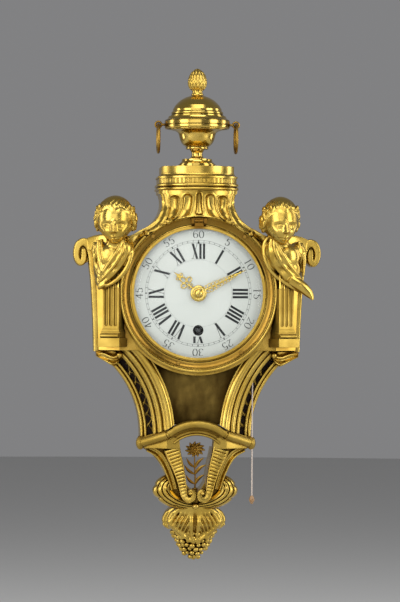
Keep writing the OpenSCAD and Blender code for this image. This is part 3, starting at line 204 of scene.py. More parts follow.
# Darker gilding: on the flower sprig it is painted shade; the ring handles wear it too.
gilt_darker = gilding("gilt_darker", (0.33, 0.20, 0.04), (0.24, 0.13, 0.02), (0.06, 0.028, 0.005), 0.3, 0.45)
dress(gilt_ring, "case_body")
dress(gilt_door, "bezel")
dress(gilt_matt, "pilasters")
dress(gilt_cast, "legs", "plinth")
dress(gilt_turned, "urn_foot", "urn_bowl", "urn_lid")
dress(gilt_darker, "ring_eyes", "ring_left", "ring_right", "ring_screws")


# Plain sheet behind the legs and across the back: hand-planished brass, toned dull and handled.
# Old finger marks and streaks lie over it; painted shade darkens it in hollows, towards its edges.
def planished(name, light, dark, rough, ripple):
    m = Finish(name)
    streaks = m.noise(52, 5, m.stretched((1, 1, 0.35)))
    sheet = m.mix(m.spread(streaks, 0.36, 0.64), light, dark)
    # Painted shade: ambient occlusion blends the sheet towards 0.3 of its dark tone in hollows.
    colour = m.mix(m.hollows(0.018, 0.2, 0.9), tuple(c * 0.3 for c in dark), sheet)
    return m.look(colour, m.spread(streaks, 0.3, 0.7, rough, rough + 0.2), Metallic=1,
                  Normal=m.bump(m.noise(95, 1), ripple, 0.0012))


dress(planished("toned_sheet", (0.17, 0.112, 0.026), (0.035, 0.018, 0.004), 0.28, 0.6), "throat_panel", "back_cover")


# Movement: plates, wheels and pendulum of brushed brass, arbors and springs of polished steel.
# Little of it shows: the pendulum below the back cover, and the arbor through the dial's winding hole.
def brushed(name, light, dark, rough, lines):
    m = Finish(name)
    strokes = m.noise(400, 3, m.stretched(lines))
    # Painted shade: ambient occlusion turns hollows, such as the winding hole, near black.
    colour = m.mix(m.hollows(0.012, 0.3, 0.9), (0.006, 0.005, 0.004), m.mix(m.spread(strokes, 0.3, 0.7), light, dark))
    gloss = m.spread(strokes, 0.3, 0.7, rough, rough + 0.12)
    return m.look(colour, gloss, Metallic=1, Normal=m.bump(strokes, 0.08, 0.0002))


plate_brass = brushed("plate_brass", (0.86, 0.66, 0.32), (0.72, 0.52, 0.22), 0.26, (1, 1, 0.06))
bright_steel = brushed("bright_steel", (0.62, 0.63, 0.65), (0.45, 0.46, 0.48), 0.2, (0.08, 1, 1))
dress(plate_brass, "dial_plate", "front_plate", "back_plate", "pillars", "barrel", "intermediate_wheel", "centre_wheel",
      "cannon_pinion", "minute_wheel", "hour_wheel", "third_wheel", "escape_wheel", "pendulum", "pendulum_cock", "bell",
      "bell_stand", "repeat_pulley")
dress(bright_steel, "hanging_plate", "urn_tie_rod", "cover_screws", "hinge_pin", "mainspring", "winding_arbor", "click",
      "anchor", "hammer")


# Pull repeat cord: an off-white twisted thread that hangs from the pulley through the leg's slot.
# It ends in a small turned wooden bead with a knot under it.
def pick(*bits):
    """Selects these objects alone and makes the first one active."""
    bpy.ops.object.select_all(action="DESELECT")
    for bit in bits:
        bit.select_set(True)
    bpy.context.view_layer.objects.active = bits[0]


def outward(weld=0):
    """Turns all faces of the active piece outward, after merging corners that lie closer than weld."""
    bpy.ops.object.mode_set(mode="EDIT")
    bpy.ops.mesh.select_all(action="SELECT")
    if weld:
        bpy.ops.mesh.remove_doubles(threshold=weld)
    bpy.ops.mesh.normals_make_consistent(inside=False)
    bpy.ops.object.mode_set(mode="OBJECT")


def put(made, material, node=None, body="case"):
    """Gives a piece its finish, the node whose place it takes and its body."""
    made.data.materials.clear()
    made.data.materials.append(material)
    if node:
        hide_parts(node)
    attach(made, body)
    return made


def new_piece(name, data):
    made = bpy.data.objects.new(name, data)
    scene.collection.objects.link(made)
    return made


def new_mesh(name, spots, edges, faces):
    mesh = bpy.data.meshes.new(name)
    mesh.from_pydata(spots, edges, faces)
    return new_piece(name, mesh)


def lathe(name, profile, centre, steps=48):
    """Spins a profile of (radius, height) millimetres about an upright axis through centre."""
    rim = [Vector(centre) + Vector((r / 1000, 0, h / 1000)) for r, h in profile]
    made = new_mesh(name, rim, [(i, i + 1) for i in range(len(rim) - 1)], [])
    pick(made)
    bpy.ops.object.mode_set(mode="EDIT")
    bpy.ops.mesh.select_all(action="SELECT")
    bpy.ops.mesh.spin(steps=steps, angle=tau, center=centre, axis=(0, 0, 1))
    bpy.ops.object.mode_set(mode="OBJECT")
    outward(0.000002)
    bpy.ops.object.shade_smooth()
    return made


thread_top, bead_top = at(45.6, 34.5, -28), at(45.6, 34.5, -163.6)
thread_r, thread_twist, strands, rises = 0.0006, 0.0042, 3, 340
bpy.ops.mesh.primitive_circle_add(vertices=18, radius=thread_r, location=thread_top)
thread = bpy.context.object
thread.name = "repeat_thread"
bpy.ops.object.transform_apply(location=True, rotation=True, scale=True)
bpy.ops.object.mode_set(mode="EDIT")
bpy.ops.mesh.select_all(action="SELECT")
bpy.ops.mesh.edge_face_add()
for step in range(rises):
    bpy.ops.mesh.extrude_region_move(TRANSFORM_OT_translate={"value": (0, 0, (bead_top.z - thread_top.z) / rises)})
bpy.ops.object.mode_set(mode="OBJECT")
for vertex in thread.data.vertices:
    axis = Vector((thread_top.x, thread_top.y, vertex.co.z))
    away = vertex.co - axis
    swirl = atan2(away.y, away.x) - (vertex.co.z - thread_top.z) / thread_twist * tau / strands
    vertex.co = axis + away * (0.84 + 0.16 * abs(cos(strands / 2 * swirl)))
outward()
bpy.ops.object.shade_smooth()
linen = Finish("linen_thread")
fibres = linen.noise(2600, 3)
linen.look(linen.mix(fibres, (0.50, 0.43, 0.38), (0.34, 0.28, 0.23)), 0.85, Sheen_Weight=0.25,
           Normal=linen.bump(fibres, 0.4, 0.0002))
put(thread, linen.made, "repeat_cord", "pull")
wood = Finish("bead_wood")
wood.look(wood.mix(wood.noise(700, 4), (0.36, 0.21, 0.09), (0.16, 0.08, 0.03)), 0.35)
pull_bead = lathe("pull_bead", [
    (0, 0), (0.9, 0), (1.35, -0.3), (1.3, -0.8), (1.75, -1.5), (2.15, -2.6), (2.2, -3.4), (2, -4.5), (1.5, -5.3),
    (1, -5.7), (1.25, -6), (1.2, -6.35), (0.7, -6.6), (0, -6.62)], bead_top)
put(pull_bead, wood.made, "cord_bead", "pull")

# Dial: white enamel fired on copper, slightly domed, with a glossy skin and faint cloudiness.
# Figures and minute track are painted in black ceramic colour and fired in.
enamel = Finish("white_enamel")
enamel.look(enamel.mix(enamel.noise(45, 3), (0.55, 0.546, 0.521), (0.503, 0.504, 0.475)), 0.16, Coat_Weight=0.4,
            Coat_Roughness=0.05)
dress(enamel.made, "dial")

dial_rim, dial_rim_d, dial_dome = 52.8, 53.6, 2
dome_r = (dial_rim ** 2 + dial_dome ** 2) / (2 * dial_dome)


def on_dial(x, z, lift):
    return at(x, dial_rim_d + dial_dome - dome_r + sqrt(dome_r ** 2 - x * x - z * z) + lift, z)


def turned_out(points, hour_angle):
    """Turns dial points so that up on the paper points along the hour, seen from the front."""
    c, s = cos(hour_angle), sin(hour_angle)
    return [(x * c + z * s, z * c - x * s) for x, z in points]


def bar(x0, z0, x1, z1, w):
    """Slanted stroke with level ends."""
    return [(x0 - w / 2, z0), (x0 + w / 2, z0), (x1 + w / 2, z1), (x1 - w / 2, z1)]


def roman(text, low, high):
    """Strokes of a roman number between two radii, thick and thin with small feet."""
    width, serif, half = {"I": 2.9, "V": 5.9, "X": 5.9}, 0.28, 1.15
    strokes, x = [], -sum(width[c] for c in text) / 2
    for c in text:
        m, top = x + width[c] / 2, high - serif
        x += width[c]
        feet = [(m - 1.75, top), (m + 1.85, top)]
        if c == "I":
            strokes += [bar(m, low, m, high, 1.85)]
            feet = [(m, low), (m, top)]
        elif c == "V":
            strokes += [bar(m - 1.7, high, m + 0.1, low, 1.9), bar(m + 1.9, high, m + 0.1, low, 0.38)]
        else:
            strokes += [bar(m - 1.8, high, m + 1.8, low, 1.9), bar(m + 1.8, high, m - 1.8, low, 0.38)]
            feet += [(m - 1.8, low), (m + 1.8, low)]
        strokes += [[(f - half, z), (f + half, z), (f + half, z + serif), (f - half, z + serif)] for f, z in feet]
    return strokes


def nib(points, thick, lean):
    """Pen stroke along points with a broad nib, so that it swells and thins."""
    dx, dz = thick / 2 * cos(lean), thick / 2 * sin(lean)
    quads, hair = [], 0.13
    for (xa, za), (xb, zb) in zip(points, points[1:]):
        nx, nz = -(zb - za), xb - xa
        n = hypot(nx, nz) or 1
        hx, hz = nx / n * hair, nz / n * hair
        quads += [[(xa - dx, za - dz), (xa + dx, za + dz), (xb + dx, zb + dz), (xb - dx, zb - dz)],
                  [(xa - hx, za - hz), (xa + hx, za + hz), (xb + hx, zb + hz), (xb - hx, zb - hz)]]
    return quads


def loop(cx, cz, rx, rz, start=0, end=360, steps=20, lean=0):
    """Points on an ellipse or a part of it, leaning by an angle."""
    c, s = cos(lean), sin(lean)
    turns = [radians(start + (end - start) * i / steps) for i in range(steps + 1)]
    spots = [(rx * cos(a), rz * sin(a)) for a in turns]
    return [(cx + x * c - z * s, cz + x * s + z * c) for x, z in spots]


digit_lines = {
    "0": [loop(0, 0, 1.75, 2.9, 0, 360, 24)],
    "1": [[(-0.75, 2.2), (0, 2.9), (0, -2.9)], [(-0.8, -2.9), (0.8, -2.9)]],
    "2": [loop(0, 1.35, 1.6, 1.5, 165, -25, 14) + [(-1.6, -2.8)],
          [(-1.6, -2.8), (-0.5, -2.45), (0.6, -2.8), (1.7, -2.3)]],
    "3": [loop(-0.1, 1.55, 1.35, 1.35, 150, -85, 14), loop(-0.1, -1.3, 1.65, 1.6, 85, -155, 14)],
    "4": [[(0.7, -2.9), (0.7, 2.9), (-1.9, -1.1), (1.8, -1.1)]],
    "5": [[(1.5, 2.8), (-1.1, 2.8), (-1.25, 0.5)] + loop(-0.15, -0.95, 1.6, 1.85, 125, -150, 14)],
    "6": [[(1.35, 2.5)] + loop(0.3, 0.2, 2, 2.75, 75, 190, 10), loop(0, -1.1, 1.65, 1.75, 0, 360, 20)],
}


def arabic(text, radius):
    """Strokes of a minute number standing on the dial at one radius, with thick sides and hair lines."""
    strokes, x = [], -(len(text) - 1) * 2.35
    for c in text:
        for line in digit_lines[c]:
            strokes += nib([(px + x, pz + radius) for px, pz in line], 0.72, 0.12)
        x += 4.7
    return strokes


marks = []
hours = ["XII", "I", "II", "III", "IIII", "V", "VI", "VII", "VIII", "IX", "X", "XI"]
for i, text in enumerate(hours):
    angle = tau * i / 12
    for stroke in roman(text, 34.6 if text == "VI" else 27.6, 40):
        marks.append(turned_out(stroke, angle))
    for stroke in arabic(str(60 if i == 0 else 5 * i), 47.4):
        marks.append(turned_out(stroke, angle))
marks.append([(0.9 * cos(a / 8 * tau), 40.6 + 0.9 * sin(a / 8 * tau)) for a in range(8)])
for minute in range(60):
    angle = tau * minute / 60
    marks.append(turned_out(bar(0, 41, 0, 42.6, 0.34 if minute % 5 else 0.8), angle))
for radius, width in ((41, 0.16), (42.6, 0.16), (27, 0.1)):
    for i in range(180):
        a, b = tau * i / 180, tau * (i + 1) / 180
        marks.append([(radius * sin(a), radius * cos(a)), (radius * sin(b), radius * cos(b)),
                      ((radius + width) * sin(b), (radius + width) * cos(b)),
                      ((radius + width) * sin(a), (radius + width) * cos(a))])
hole_z, hole_clear = -29.7, 4.6
marks = [m for m in marks if all(hypot(x, z - hole_z) > hole_clear for x, z in m)]
spots, faces = [], []
for level, mark in enumerate(marks):
    if sum(x0 * z1 - x1 * z0 for (x0, z0), (x1, z1) in zip(mark, mark[1:] + mark[:1])) < 0:
        mark = mark[::-1]
    faces.append(tuple(range(len(spots), len(spots) + len(mark))))
    spots += [on_dial(x, z, 0.05 + 0.0001 * (level % 200)) for x, z in mark]
figures = new_mesh("dial_figures", spots, [], faces)
black = Finish("fired_black")
black.look(black.mix(black.spread(black.noise(500, 3), 0.45, 0.8), (0.004, 0.004, 0.005), (0.02, 0.02, 0.022)), 0.3)
put(figures, black.made)


# Hands: pierced and chased gilt brass, filed up from sheet, domed towards their edges.
# The minute hand is a lacy taper, the hour hand ends in a trefoil; a turned collet covers the arbor.
gilt_hand = gilding("gilt_hand", (0.74, 0.53, 0.15), (0.62, 0.42, 0.09), (0.10, 0.05, 0.008), 0.18, 0.3,
                    hollow=0.0015, grain=0.03, edge=0.0002)


def new_curve(name, spots, bevel, rounding, radii=None, kind="POLY"):
    """Round bar along spots of the scene, still a curve."""
    line = bpy.data.curves.new(name, "CURVE")
    line.dimensions = "3D"
    line.bevel_depth, line.bevel_resolution = bevel, rounding
    line.use_fill_caps = True
    spline = line.splines.new(kind)
    spline.points.add(len(spots) - 1)
    for i, (point, spot) in enumerate(zip(spline.points, spots)):
        point.co = (*spot, 1)
        point.radius = radii[i] if radii else 1
    return new_piece(name, line)


def to_mesh(bits, name):
    pick(*bits)
    bpy.ops.object.convert(target="MESH")
    if len(bits) > 1:
        bpy.ops.object.join()
    made = bpy.context.object
    made.name = name
    return made


def weld_smooth(made, voxel, rounds):
    """Melts the bits of a piece into one skin and smooths it."""
    pick(made)
    weld = made.modifiers.new("weld", "REMESH")
    weld.mode = "VOXEL"
    weld.voxel_size = voxel
    bpy.ops.object.modifier_apply(modifier="weld")
    calm = made.modifiers.new("calm", "SMOOTH")
    calm.factor = 0.5
    calm.iterations = rounds
    bpy.ops.object.modifier_apply(modifier="calm")
    bpy.ops.object.shade_smooth()
    return made


def flat_wire(name, lines, depth, thick):
    """Joins rounded bars of (points, half width) into one pierced openwork plate at a depth."""
    core = depth + thick / 2
    bars = [new_curve(name, [at(x, core, z) for x, z in points], half / 1000, 2) for points, half in lines]
    piece = to_mesh(bars, name)
    core_y = -core / 1000
    for vertex in piece.data.vertices:
        vertex.co.y = core_y + max(-thick / 2000, min(thick / 2000, vertex.co.y - core_y))
    return weld_smooth(piece, 0.00017, 3)


def pointed(lines, clock_deg):
    return [(turned_out(points, radians(clock_deg)), half) for points, half in lines]


hour_lines = [([(0, 2.5), (0, 11.5)], 0.75), ([(0, 18.5), (0, 22)], 0.7), ([(0, 21.5), (0, 24.2)], 0.55),
              ([(0, 24), (0, 26)], 0.3), (loop(0, 16.4, 2, 2.6), 0.52), (loop(0, 21.2, 1.1, 1.5), 0.42)]
minute_lines = [([(0, 2.5), (0, 38)], 0.42), ([(0, 38), (0, 43)], 0.28), (loop(0, 33.6, 0.9, 1.7), 0.3),
                (loop(0, 37.2, 0.7, 1.2), 0.26)]
for side in (-1, 1):
    hour_lines += [(loop(side * 3.3, 12.9, 2.2, 1.75, lean=side * 0.45), 0.52),
                   (loop(side * 2.1, 20.2, 1, 1.3, lean=side * -0.5), 0.4),
                   (loop(side * 1.2, 9, 0.9, 1.2, lean=side * 0.3), 0.36)]
    for z, x, r in ((7.6, 1.9, 1.45), (10.6, 2.1, 1.5), (13.8, 1.9, 1.4), (17, 1.65, 1.35), (20.1, 1.5, 1.3),
                    (23.2, 1.3, 1.2), (26.1, 1.1, 1.1), (28.8, 0.95, 1), (31.3, 0.8, 0.9)):
        minute_lines.append((loop(side * x, z, r * 0.78, r * 1.15, lean=side * -0.55), 0.3))
hour_blade = flat_wire("hour_blade", pointed(hour_lines, 311), 56.1, 0.7)
minute_blade = flat_wire("minute_blade", pointed(minute_lines, 63.5), 57.3, 0.7)
put(hour_blade, gilt_hand, "hour_hand", "hour_pipe")
put(minute_blade, gilt_hand, "minute_hand", "minute_arbor")


def facing(made):
    """Turns a lathe piece that was spun upright at the hanging hole so that it faces the viewer at the dial centre."""
    made.rotation_euler = (pi / 2, 0, 0)
    pick(made)
    bpy.ops.object.transform_apply(location=True, rotation=True, scale=True)
    for vertex in made.data.vertices:
        vertex.co.z -= hole_to_dial / 1000
    return made


hour_boss = facing(lathe("hour_boss", [
    (2.72, 56), (6.2, 56), (6.3, 56.3), (6, 56.8), (5.2, 57.05), (2.72, 57.1)], (0, 0, 0)))
collet = facing(lathe("hand_collet", [
    (1.25, 57.25), (6.3, 57.25), (6.6, 57.5), (6.5, 58), (5.9, 58.45), (4.9, 58.6), (4.2, 58.4), (3.7, 58.45),
    (3.3, 59.1), (2.9, 60), (2, 60.7), (1, 61), (0, 61.1)], (0, 0, 0)))
put(hour_boss, gilt_hand, None, "hour_pipe")
put(collet, gilt_hand, "hand_nut", "minute_arbor")

# Glass of the dial door: a thin blown dome held in the bezel.
# It lets the dial show through plainly and mirrors the soft boxes near its edge.
clear, bend = Finish("blown_glass"), 1.16
clear.nodes.remove(clear.shader)
through = clear.add("BsdfTransparent", {"Color": (0.97, 0.985, 0.98, 1)})["BSDF"]
mirror = clear.add("BsdfGlossy", {"Roughness": 0.03})["BSDF"]
behind = clear.add("NewGeometry")["Backfacing"]
slope = clear.add("Fresnel", {"IOR": clear.spread(behind, 0, 1, bend, 1 / bend)})["Fac"]
pane = clear.add("MixShader", {"Fac": slope, 1: through, 2: mirror})["Shader"]
clear.link(pane, clear.nodes["Material Output"].inputs["Surface"])
dress(clear.made, "glass")

# Neck: one casting between the dial ring and the plinth, hollow behind.
# Five flutes with arched tops spread down its bowed front.
# A broad plain border beside them sweeps to the shoulders.
neck_top, neck_top_half, lip_r, side_r, side_c, shoulder, border = 83, 31.6, 61.6, 24, (53.6, 72.8), 46.7, 0.78
bow_d, bow_r = 18, 41
lip_turn = acos(shoulder / lip_r)
skirt = ((0, 60), (61.6, 60), (67, 57.6), (72, 53.6), (79, 46.8), (100, 24))
flute_places = [(0, 0.072, 81, 62.6)] + [
    (s * c, w, top, 0) for s in (-1, 1) for c, w, top in ((0.305, 0.122, 79.8), (0.645, 0.128, 78.6))]


def hill(value, centre, width):
    return exp(-((value - centre) / width) ** 2)


def ease(low, high, value):
    t = max(0, min(1, (value - low) / (high - low)))
    return t * t * (3 - 2 * t)


def between(table, place):
    """Straight-line reading of a table of (place, value) rows."""
    for (a, va), (b, vb) in zip(table, table[1:]):
        if place <= b:
            return va + (vb - va) * (place - a) / (b - a)
    return table[-1][1]


def finish(bits, name, node=None, shade=45, material=gilt_cast):
    """Joins the pieces of one casting, shades and gilds them and lets them take the node's place."""
    pick(*bits)
    if len(bits) > 1:
        bpy.ops.object.join()
    made = bpy.context.object
    made.name = name
    bpy.ops.object.shade_smooth_by_angle(angle=radians(shade))
    return put(made, material, node)


def wall_back(made, back, *moves):
    """Runs walls from the open rim of a sheet back to a depth, over one or more moves."""
    pick(made)
    bpy.ops.object.mode_set(mode="EDIT")
    bpy.ops.mesh.select_all(action="DESELECT")
    bpy.ops.mesh.select_non_manifold()
    for move in moves:
        bpy.ops.mesh.extrude_region_move(TRANSFORM_OT_translate={"value": (0, move, 0)})
    bpy.ops.object.mode_set(mode="OBJECT")
    for vertex in made.data.vertices:
        if vertex.select:
            vertex.co.y = -back / 1000
    outward()


def neck_side(z):
    lift = min(side_r, abs(z - side_c[1]))
    return neck_top_half if z > 80 else side_c[0] - sqrt(side_r ** 2 - lift ** 2)


def neck_point(u, v):
    """Point of the fluted front: u runs across from -1 to 1 and v up from the ring to the plinth."""
    a, hand = abs(u), 1 if u > 0 else -1
    if a <= border:
        low_x, low_z = lip_r * sin(lip_turn * a / border), lip_r * cos(lip_turn * a / border)
    else:
        low_x = lip_r * sin(lip_turn) + (a - border) / (1 - border) * (58 - lip_r * sin(lip_turn))
        low_z = shoulder
    edge_z = shoulder + v * (neck_top - shoulder)
    share = (neck_side(edge_z) - neck_top_half) / (side_c[0] - neck_top_half)
    x = hand * (neck_top_half * a + (low_x - neck_top_half * a) * share)
    z = low_z + v * (neck_top - low_z) - 6 * ease(0.12, 0, v) * ease(0.8, 0.95, a)
    bow = bow_d + sqrt(bow_r ** 2 - min(abs(x), bow_r - 2) ** 2)
    drop = between(skirt, hypot(x, z))
    d = 0.5 * (bow + drop + sqrt((bow - drop) ** 2 + 2.2)) - 0.75 - 1.5 * sin(pi * v) ** 2
    d += max(0, 57 - d) * ease(57, 47, z)
    cut, rim = 0, 0
    for place, half, top, foot in flute_places:
        far = hypot((u - place) / half, max(0, z - top + 3.2) / 3.2 + max(0, foot + 2 - z) / 2)
        cut = max(cut, 1 - far ** 2)
        rim = max(rim, hill(far, 1.14, 0.15))
    d += 0.5 * hill(a, 0.845, 0.03) - 0.5 * hill(a, 0.92, 0.05)
    return at(x, min(60.1, d - 2.3 * max(0, cut) ** 0.6 + 0.4 * rim), z)


bpy.ops.mesh.primitive_grid_add(x_subdivisions=280, y_subdivisions=96, size=2)
neck = bpy.context.object
neck.name = "fluted_neck"
for vertex in neck.data.vertices:
    vertex.co = neck_point(vertex.co.x, (vertex.co.y + 1) / 2)
wall_back(neck, 0.4, 0.004, 0.02)
wall = neck.modifiers.new("wall", "SOLIDIFY")
wall.thickness = 0.002
wall.offset = -1
bpy.ops.object.modifier_apply(modifier="wall")
finish([neck], "fluted_neck", "frieze", 40)

# Urn bowl: a turned cup with a full belly under a wide rim, clamped between foot and lid by the urn's rod.
# The belly is spun and burnished, and closes on the foot's collar.
urn_d, urn_foot_top = 30, 118.8
belly = lathe("urn_belly", [
    (8.4, 0.05), (9.6, 0.3), (11.2, 1.4), (12.6, 3), (13.7, 5.2), (14.4, 7.6), (14.9, 9.8), (15.6, 11.4), (17.4, 12.6),
    (20.6, 13.5), (24.4, 14.2), (12, 14.1), (8.4, 0.05)], at(0, urn_d, urn_foot_top), 96)
put(belly, gilt_turned)

# Pinecone finial: cast in one piece with its turned neck and screwed down on the urn's tie rod.
# Pointed scales overlap upwards in spiral rows.
cone_foot = at(0, urn_d, 160.6)
cone_line = [(4.3, 4.2), (5.6, 5.4), (6.7, 7.4), (7.25, 10), (6.95, 12.6), (6.1, 15.4), (4.7, 18),
             (2.7, 20.4), (1, 21.4)]
finial = lathe("pinecone_finial", [
    (2.05, 0), (4.9, 0), (5, 0.7), (4.4, 1.5), (4.1, 2.5), (4.15, 3.3), (4.7, 3.7), (4.7, 4.1),
    *cone_line[1:], (0, 21.8)], cone_foot)


def cone_at(h):
    for (r0, h0), (r1, h1) in zip(cone_line, cone_line[1:]):
        if h <= h1:
            return r0 + (r1 - r0) * (h - h0) / (h1 - h0), atan2(r0 - r1, h1 - h0)
    return cone_line[-1][0], 1.2


bpy.ops.mesh.primitive_uv_sphere_add(segments=8, ring_count=6, radius=1, location=(0, 0, 0))
scale = bpy.context.object
for vertex in scale.data.vertices:
    x, y, z = vertex.co
    vertex.co = (x * 1.45 * (1 - 0.45 * max(0, z)), y * 0.75 + 0.35 * z, z * 1.75)
scale_bits = [finial]
rows = 11
for row in range(rows):
    h = 5.6 + 15.2 * (row / (rows - 1)) ** 0.92
    radius, slope = cone_at(h)
    count = max(4, round(radius * tau / 2.75))
    size = max(0.45, min(1, radius / 6.2))
    for i in range(count):
        bit = new_piece("cone_scale", scale.data.copy())
        angle = tau * (i + 0.5 * (row % 2)) / count
        bit.matrix_world = (Matrix.Translation(cone_foot + Vector((0, 0, h / 1000))) @ Matrix.Rotation(angle, 4, "Z")
                            @ Matrix.Translation((0, radius / 1000, 0)) @ Matrix.Rotation(slope + 0.12, 4, "X")
                            @ Matrix.Scale(size / 1000, 4))
        scale_bits.append(bit)
bpy.data.objects.remove(scale)
finish(scale_bits, "pinecone_finial", "pinecone", 50)


# Side scrolls: a flat strip climbs each side of the case, thickens and rolls outward into a volute.
# Strip, roll and web are one casting; the face is rounded and burnished.
def smooth_line(points, steps):
    """Even run of points on a soft curve through the given ones."""
    run = []
    for i in range(len(points) - 1):
        p = [points[max(0, min(len(points) - 1, i + k))] for k in (-1, 0, 1, 2)]
        for s in range(steps):
            t = s / steps
            run.append(tuple(
                0.5 * (2 * b + (c - a) * t + (2 * a - 5 * b + 4 * c - d) * t * t + (3 * b - a - 3 * c + d) * t ** 3)
                for a, b, c, d in zip(*p)))
    return run + [tuple(points[-1])]


def open_sheet(name, rows):
    """Mesh through rows of (x, d, z) points."""
    width = len(rows[0])
    faces = [(width * i + k, width * i + k + 1, width * (i + 1) + k + 1, width * (i + 1) + k)
             for i in range(len(rows) - 1) for k in range(width - 1)]
    return new_mesh(name, [at(*spot) for row in rows for spot in row], [], faces)


def relief_sheet(name, rows, back):
    """Closed piece from rows of (x, d, z) points: the sheet is its front and flat walls run back to a depth."""
    made = open_sheet(name, rows)
    wall_back(made, back, 0.001)
    return made


def mirrored(side, rows):
    return [[(side * x, d, z) for x, d, z in row] for row in rows]


def band_rows(line, side, face, count):
    """Rows across a band along points of (x, z, half width); face gives depths across it and along the way gone."""
    rows, gone = [], 0
    for i, (x, z, half) in enumerate(line):
        (xa, za, _), (xb, zb, _) = line[max(0, i - 1)], line[min(len(line) - 1, i + 1)]
        n = hypot(xb - xa, zb - za)
        nx, nz = -(zb - za) / n, (xb - xa) / n
        if i:
            gone += hypot(x - line[i - 1][0], z - line[i - 1][1])
        rows.append([(side * (x + nx * half * w), face(w, i / (len(line) - 1), gone), z + nz * half * w)
                     for w in (1 - 2 * k / count for k in range(count + 1))])
    return rows


both_sides = ((-1, "left"), (1, "right"))
volute_x, volute_z = 91.4, 32.4
scroll_line = smooth_line([
    (80.8, -47, 2.6), (81.6, -20, 2.7), (83.2, 8, 2.8), (84.8, 24, 3), (85.6, 31.4, 3.2), (87.6, 38, 3.6),
    (91.6, 40.8, 3.5), (95.4, 39, 3.2), (97.4, 33.6, 2.7), (97, 28, 2.5), (94.6, 24.4, 2.5), (92.2, 25.8, 2.6),
    (91.5, 29.4, 2.6), (91.6, 33, 2.4), (91.9, 35.4, 1.8)], 12)
wing_rows = [[(72, 49.4, 46.9), (75, 48.4, 47.2), (79, 46.4, 47), (84, 43.4, 46), (89, 40.4, 44.2)],
             [(72, 50.6, 45.4), (75, 49.6, 45.6), (79, 47.6, 45.2), (84, 44.6, 44.2), (89, 41.4, 42.4)],
             [(72, 51, 36), (75, 49.8, 36), (79, 47.6, 35), (84, 44.4, 34), (89, 40.8, 35)]]
around = [radians(a) for a in range(0, 360, 8)] + [0]


def rolled(w, t, gone):
    return 39.4 + 1.6 * max(0, 1 - abs(w) ** 8) + 0.8 * t


for side, word in both_sides:
    band = relief_sheet("band", band_rows(scroll_line, side, rolled, 18), 20)
    rings = [[(side * (volute_x + 5.6 * s * cos(a)), 38.8, volute_z + 8.6 * s * sin(a)) for a in around]
             for s in (0.02, 1)]
    web = relief_sheet("web", rings, 21)
    wing = relief_sheet("wing", mirrored(side, wing_rows), 20)
    finish([band, web, wing], word + "_scroll", "side_scrolls")


# Busts: two cast child busts with draped shoulders, each standing on a pilaster and riveted to the case.
# Heads, hair and folds are chased up after casting; the faces are plain and calm.
def face_relief(x, z):
    """Forward relief of the face in millimetres, x across and z up from the head's middle."""
    a, eye, nose = abs(x), 5.3, -7.4
    lift = 0.8 * hill(z, 0.9, 1.6) * hill(a, 5, 4.2)
    lift -= 2.6 * hill(a, eye, 3.1) * hill(z, -2.7, 2.3)
    lift += 1.9 * hill(a, eye, 2) * hill(z, -3, 1.5)
    lift -= 0.5 * hill(z, -1.5 - 0.07 * (a - eye) ** 2, 0.4) * hill(a, eye, 2.3)
    lift += 0.35 * hill(z, -2.4 - 0.07 * (a - eye) ** 2, 0.35) * hill(a, eye, 2.2)
    lift -= 0.55 * hill(z, -3.25 - 0.02 * (a - eye) ** 2, 0.3) * hill(a, eye, 2.1)
    lift -= 0.4 * hill(z, -4.9 + 0.07 * (a - eye) ** 2, 0.45) * hill(a, eye, 2.2)
    slope = ease(1.5, nose, z) * (1 if z > nose else hill(z, nose, 0.95))
    tip = 1 if z > nose else hill(z, nose, 1.1)
    lift += (0.9 + 2.9 * slope) * hill(x, 0, 1.25 + 0.75 * slope) * ease(3.5, 0, z) * tip
    lift += 0.7 * hill(x, 0, 1.5) * hill(z, -7.2, 1.2) + 1.1 * hill(a, 2.1, 0.9) * hill(z, -7.9, 0.9)
    lift -= 0.6 * hill(a, 1.05, 0.5) * hill(z, -8.9, 0.45)
    lift += 1.7 * hill(a, 7.2, 3.8) * hill(z, -8.6, 3.8) + hill(x, 0, 4.6) * hill(z, -12, 3)
    lift -= 0.35 * hill(x, 0, 0.55) * hill(z, -10.2, 0.8)
    lift += (0.95 * hill(x, 0, 2.8) * hill(z, -11.35 + 0.12 * hill(x, 0, 0.6), 0.62)
             + 1.05 * hill(x, 0, 2.3) * hill(z, -13.1, 0.72))
    lift -= (0.95 * hill(x, 0, 3.3) * hill(z, -12.2 + 0.02 * x * x, 0.34)
             + 0.5 * hill(a, 3.6, 0.6) * hill(z, -12, 0.6))
    lift -= 0.65 * hill(x, 0, 2.8) * hill(z, -14.6, 0.8)
    lift += 2 * hill(x, 0, 3.5) * hill(z, -16.3, 2)
    return lift


def hair_share(x, y, z):
    """1 where hair grows, 0 on the face and neck."""
    line = -8.5 + 18.5 * ease(-3, 13.5, y) - 1.2 * cos(x * 0.6) * ease(6, 13, y)
    return ease(-1.4, 1.6, z - line)


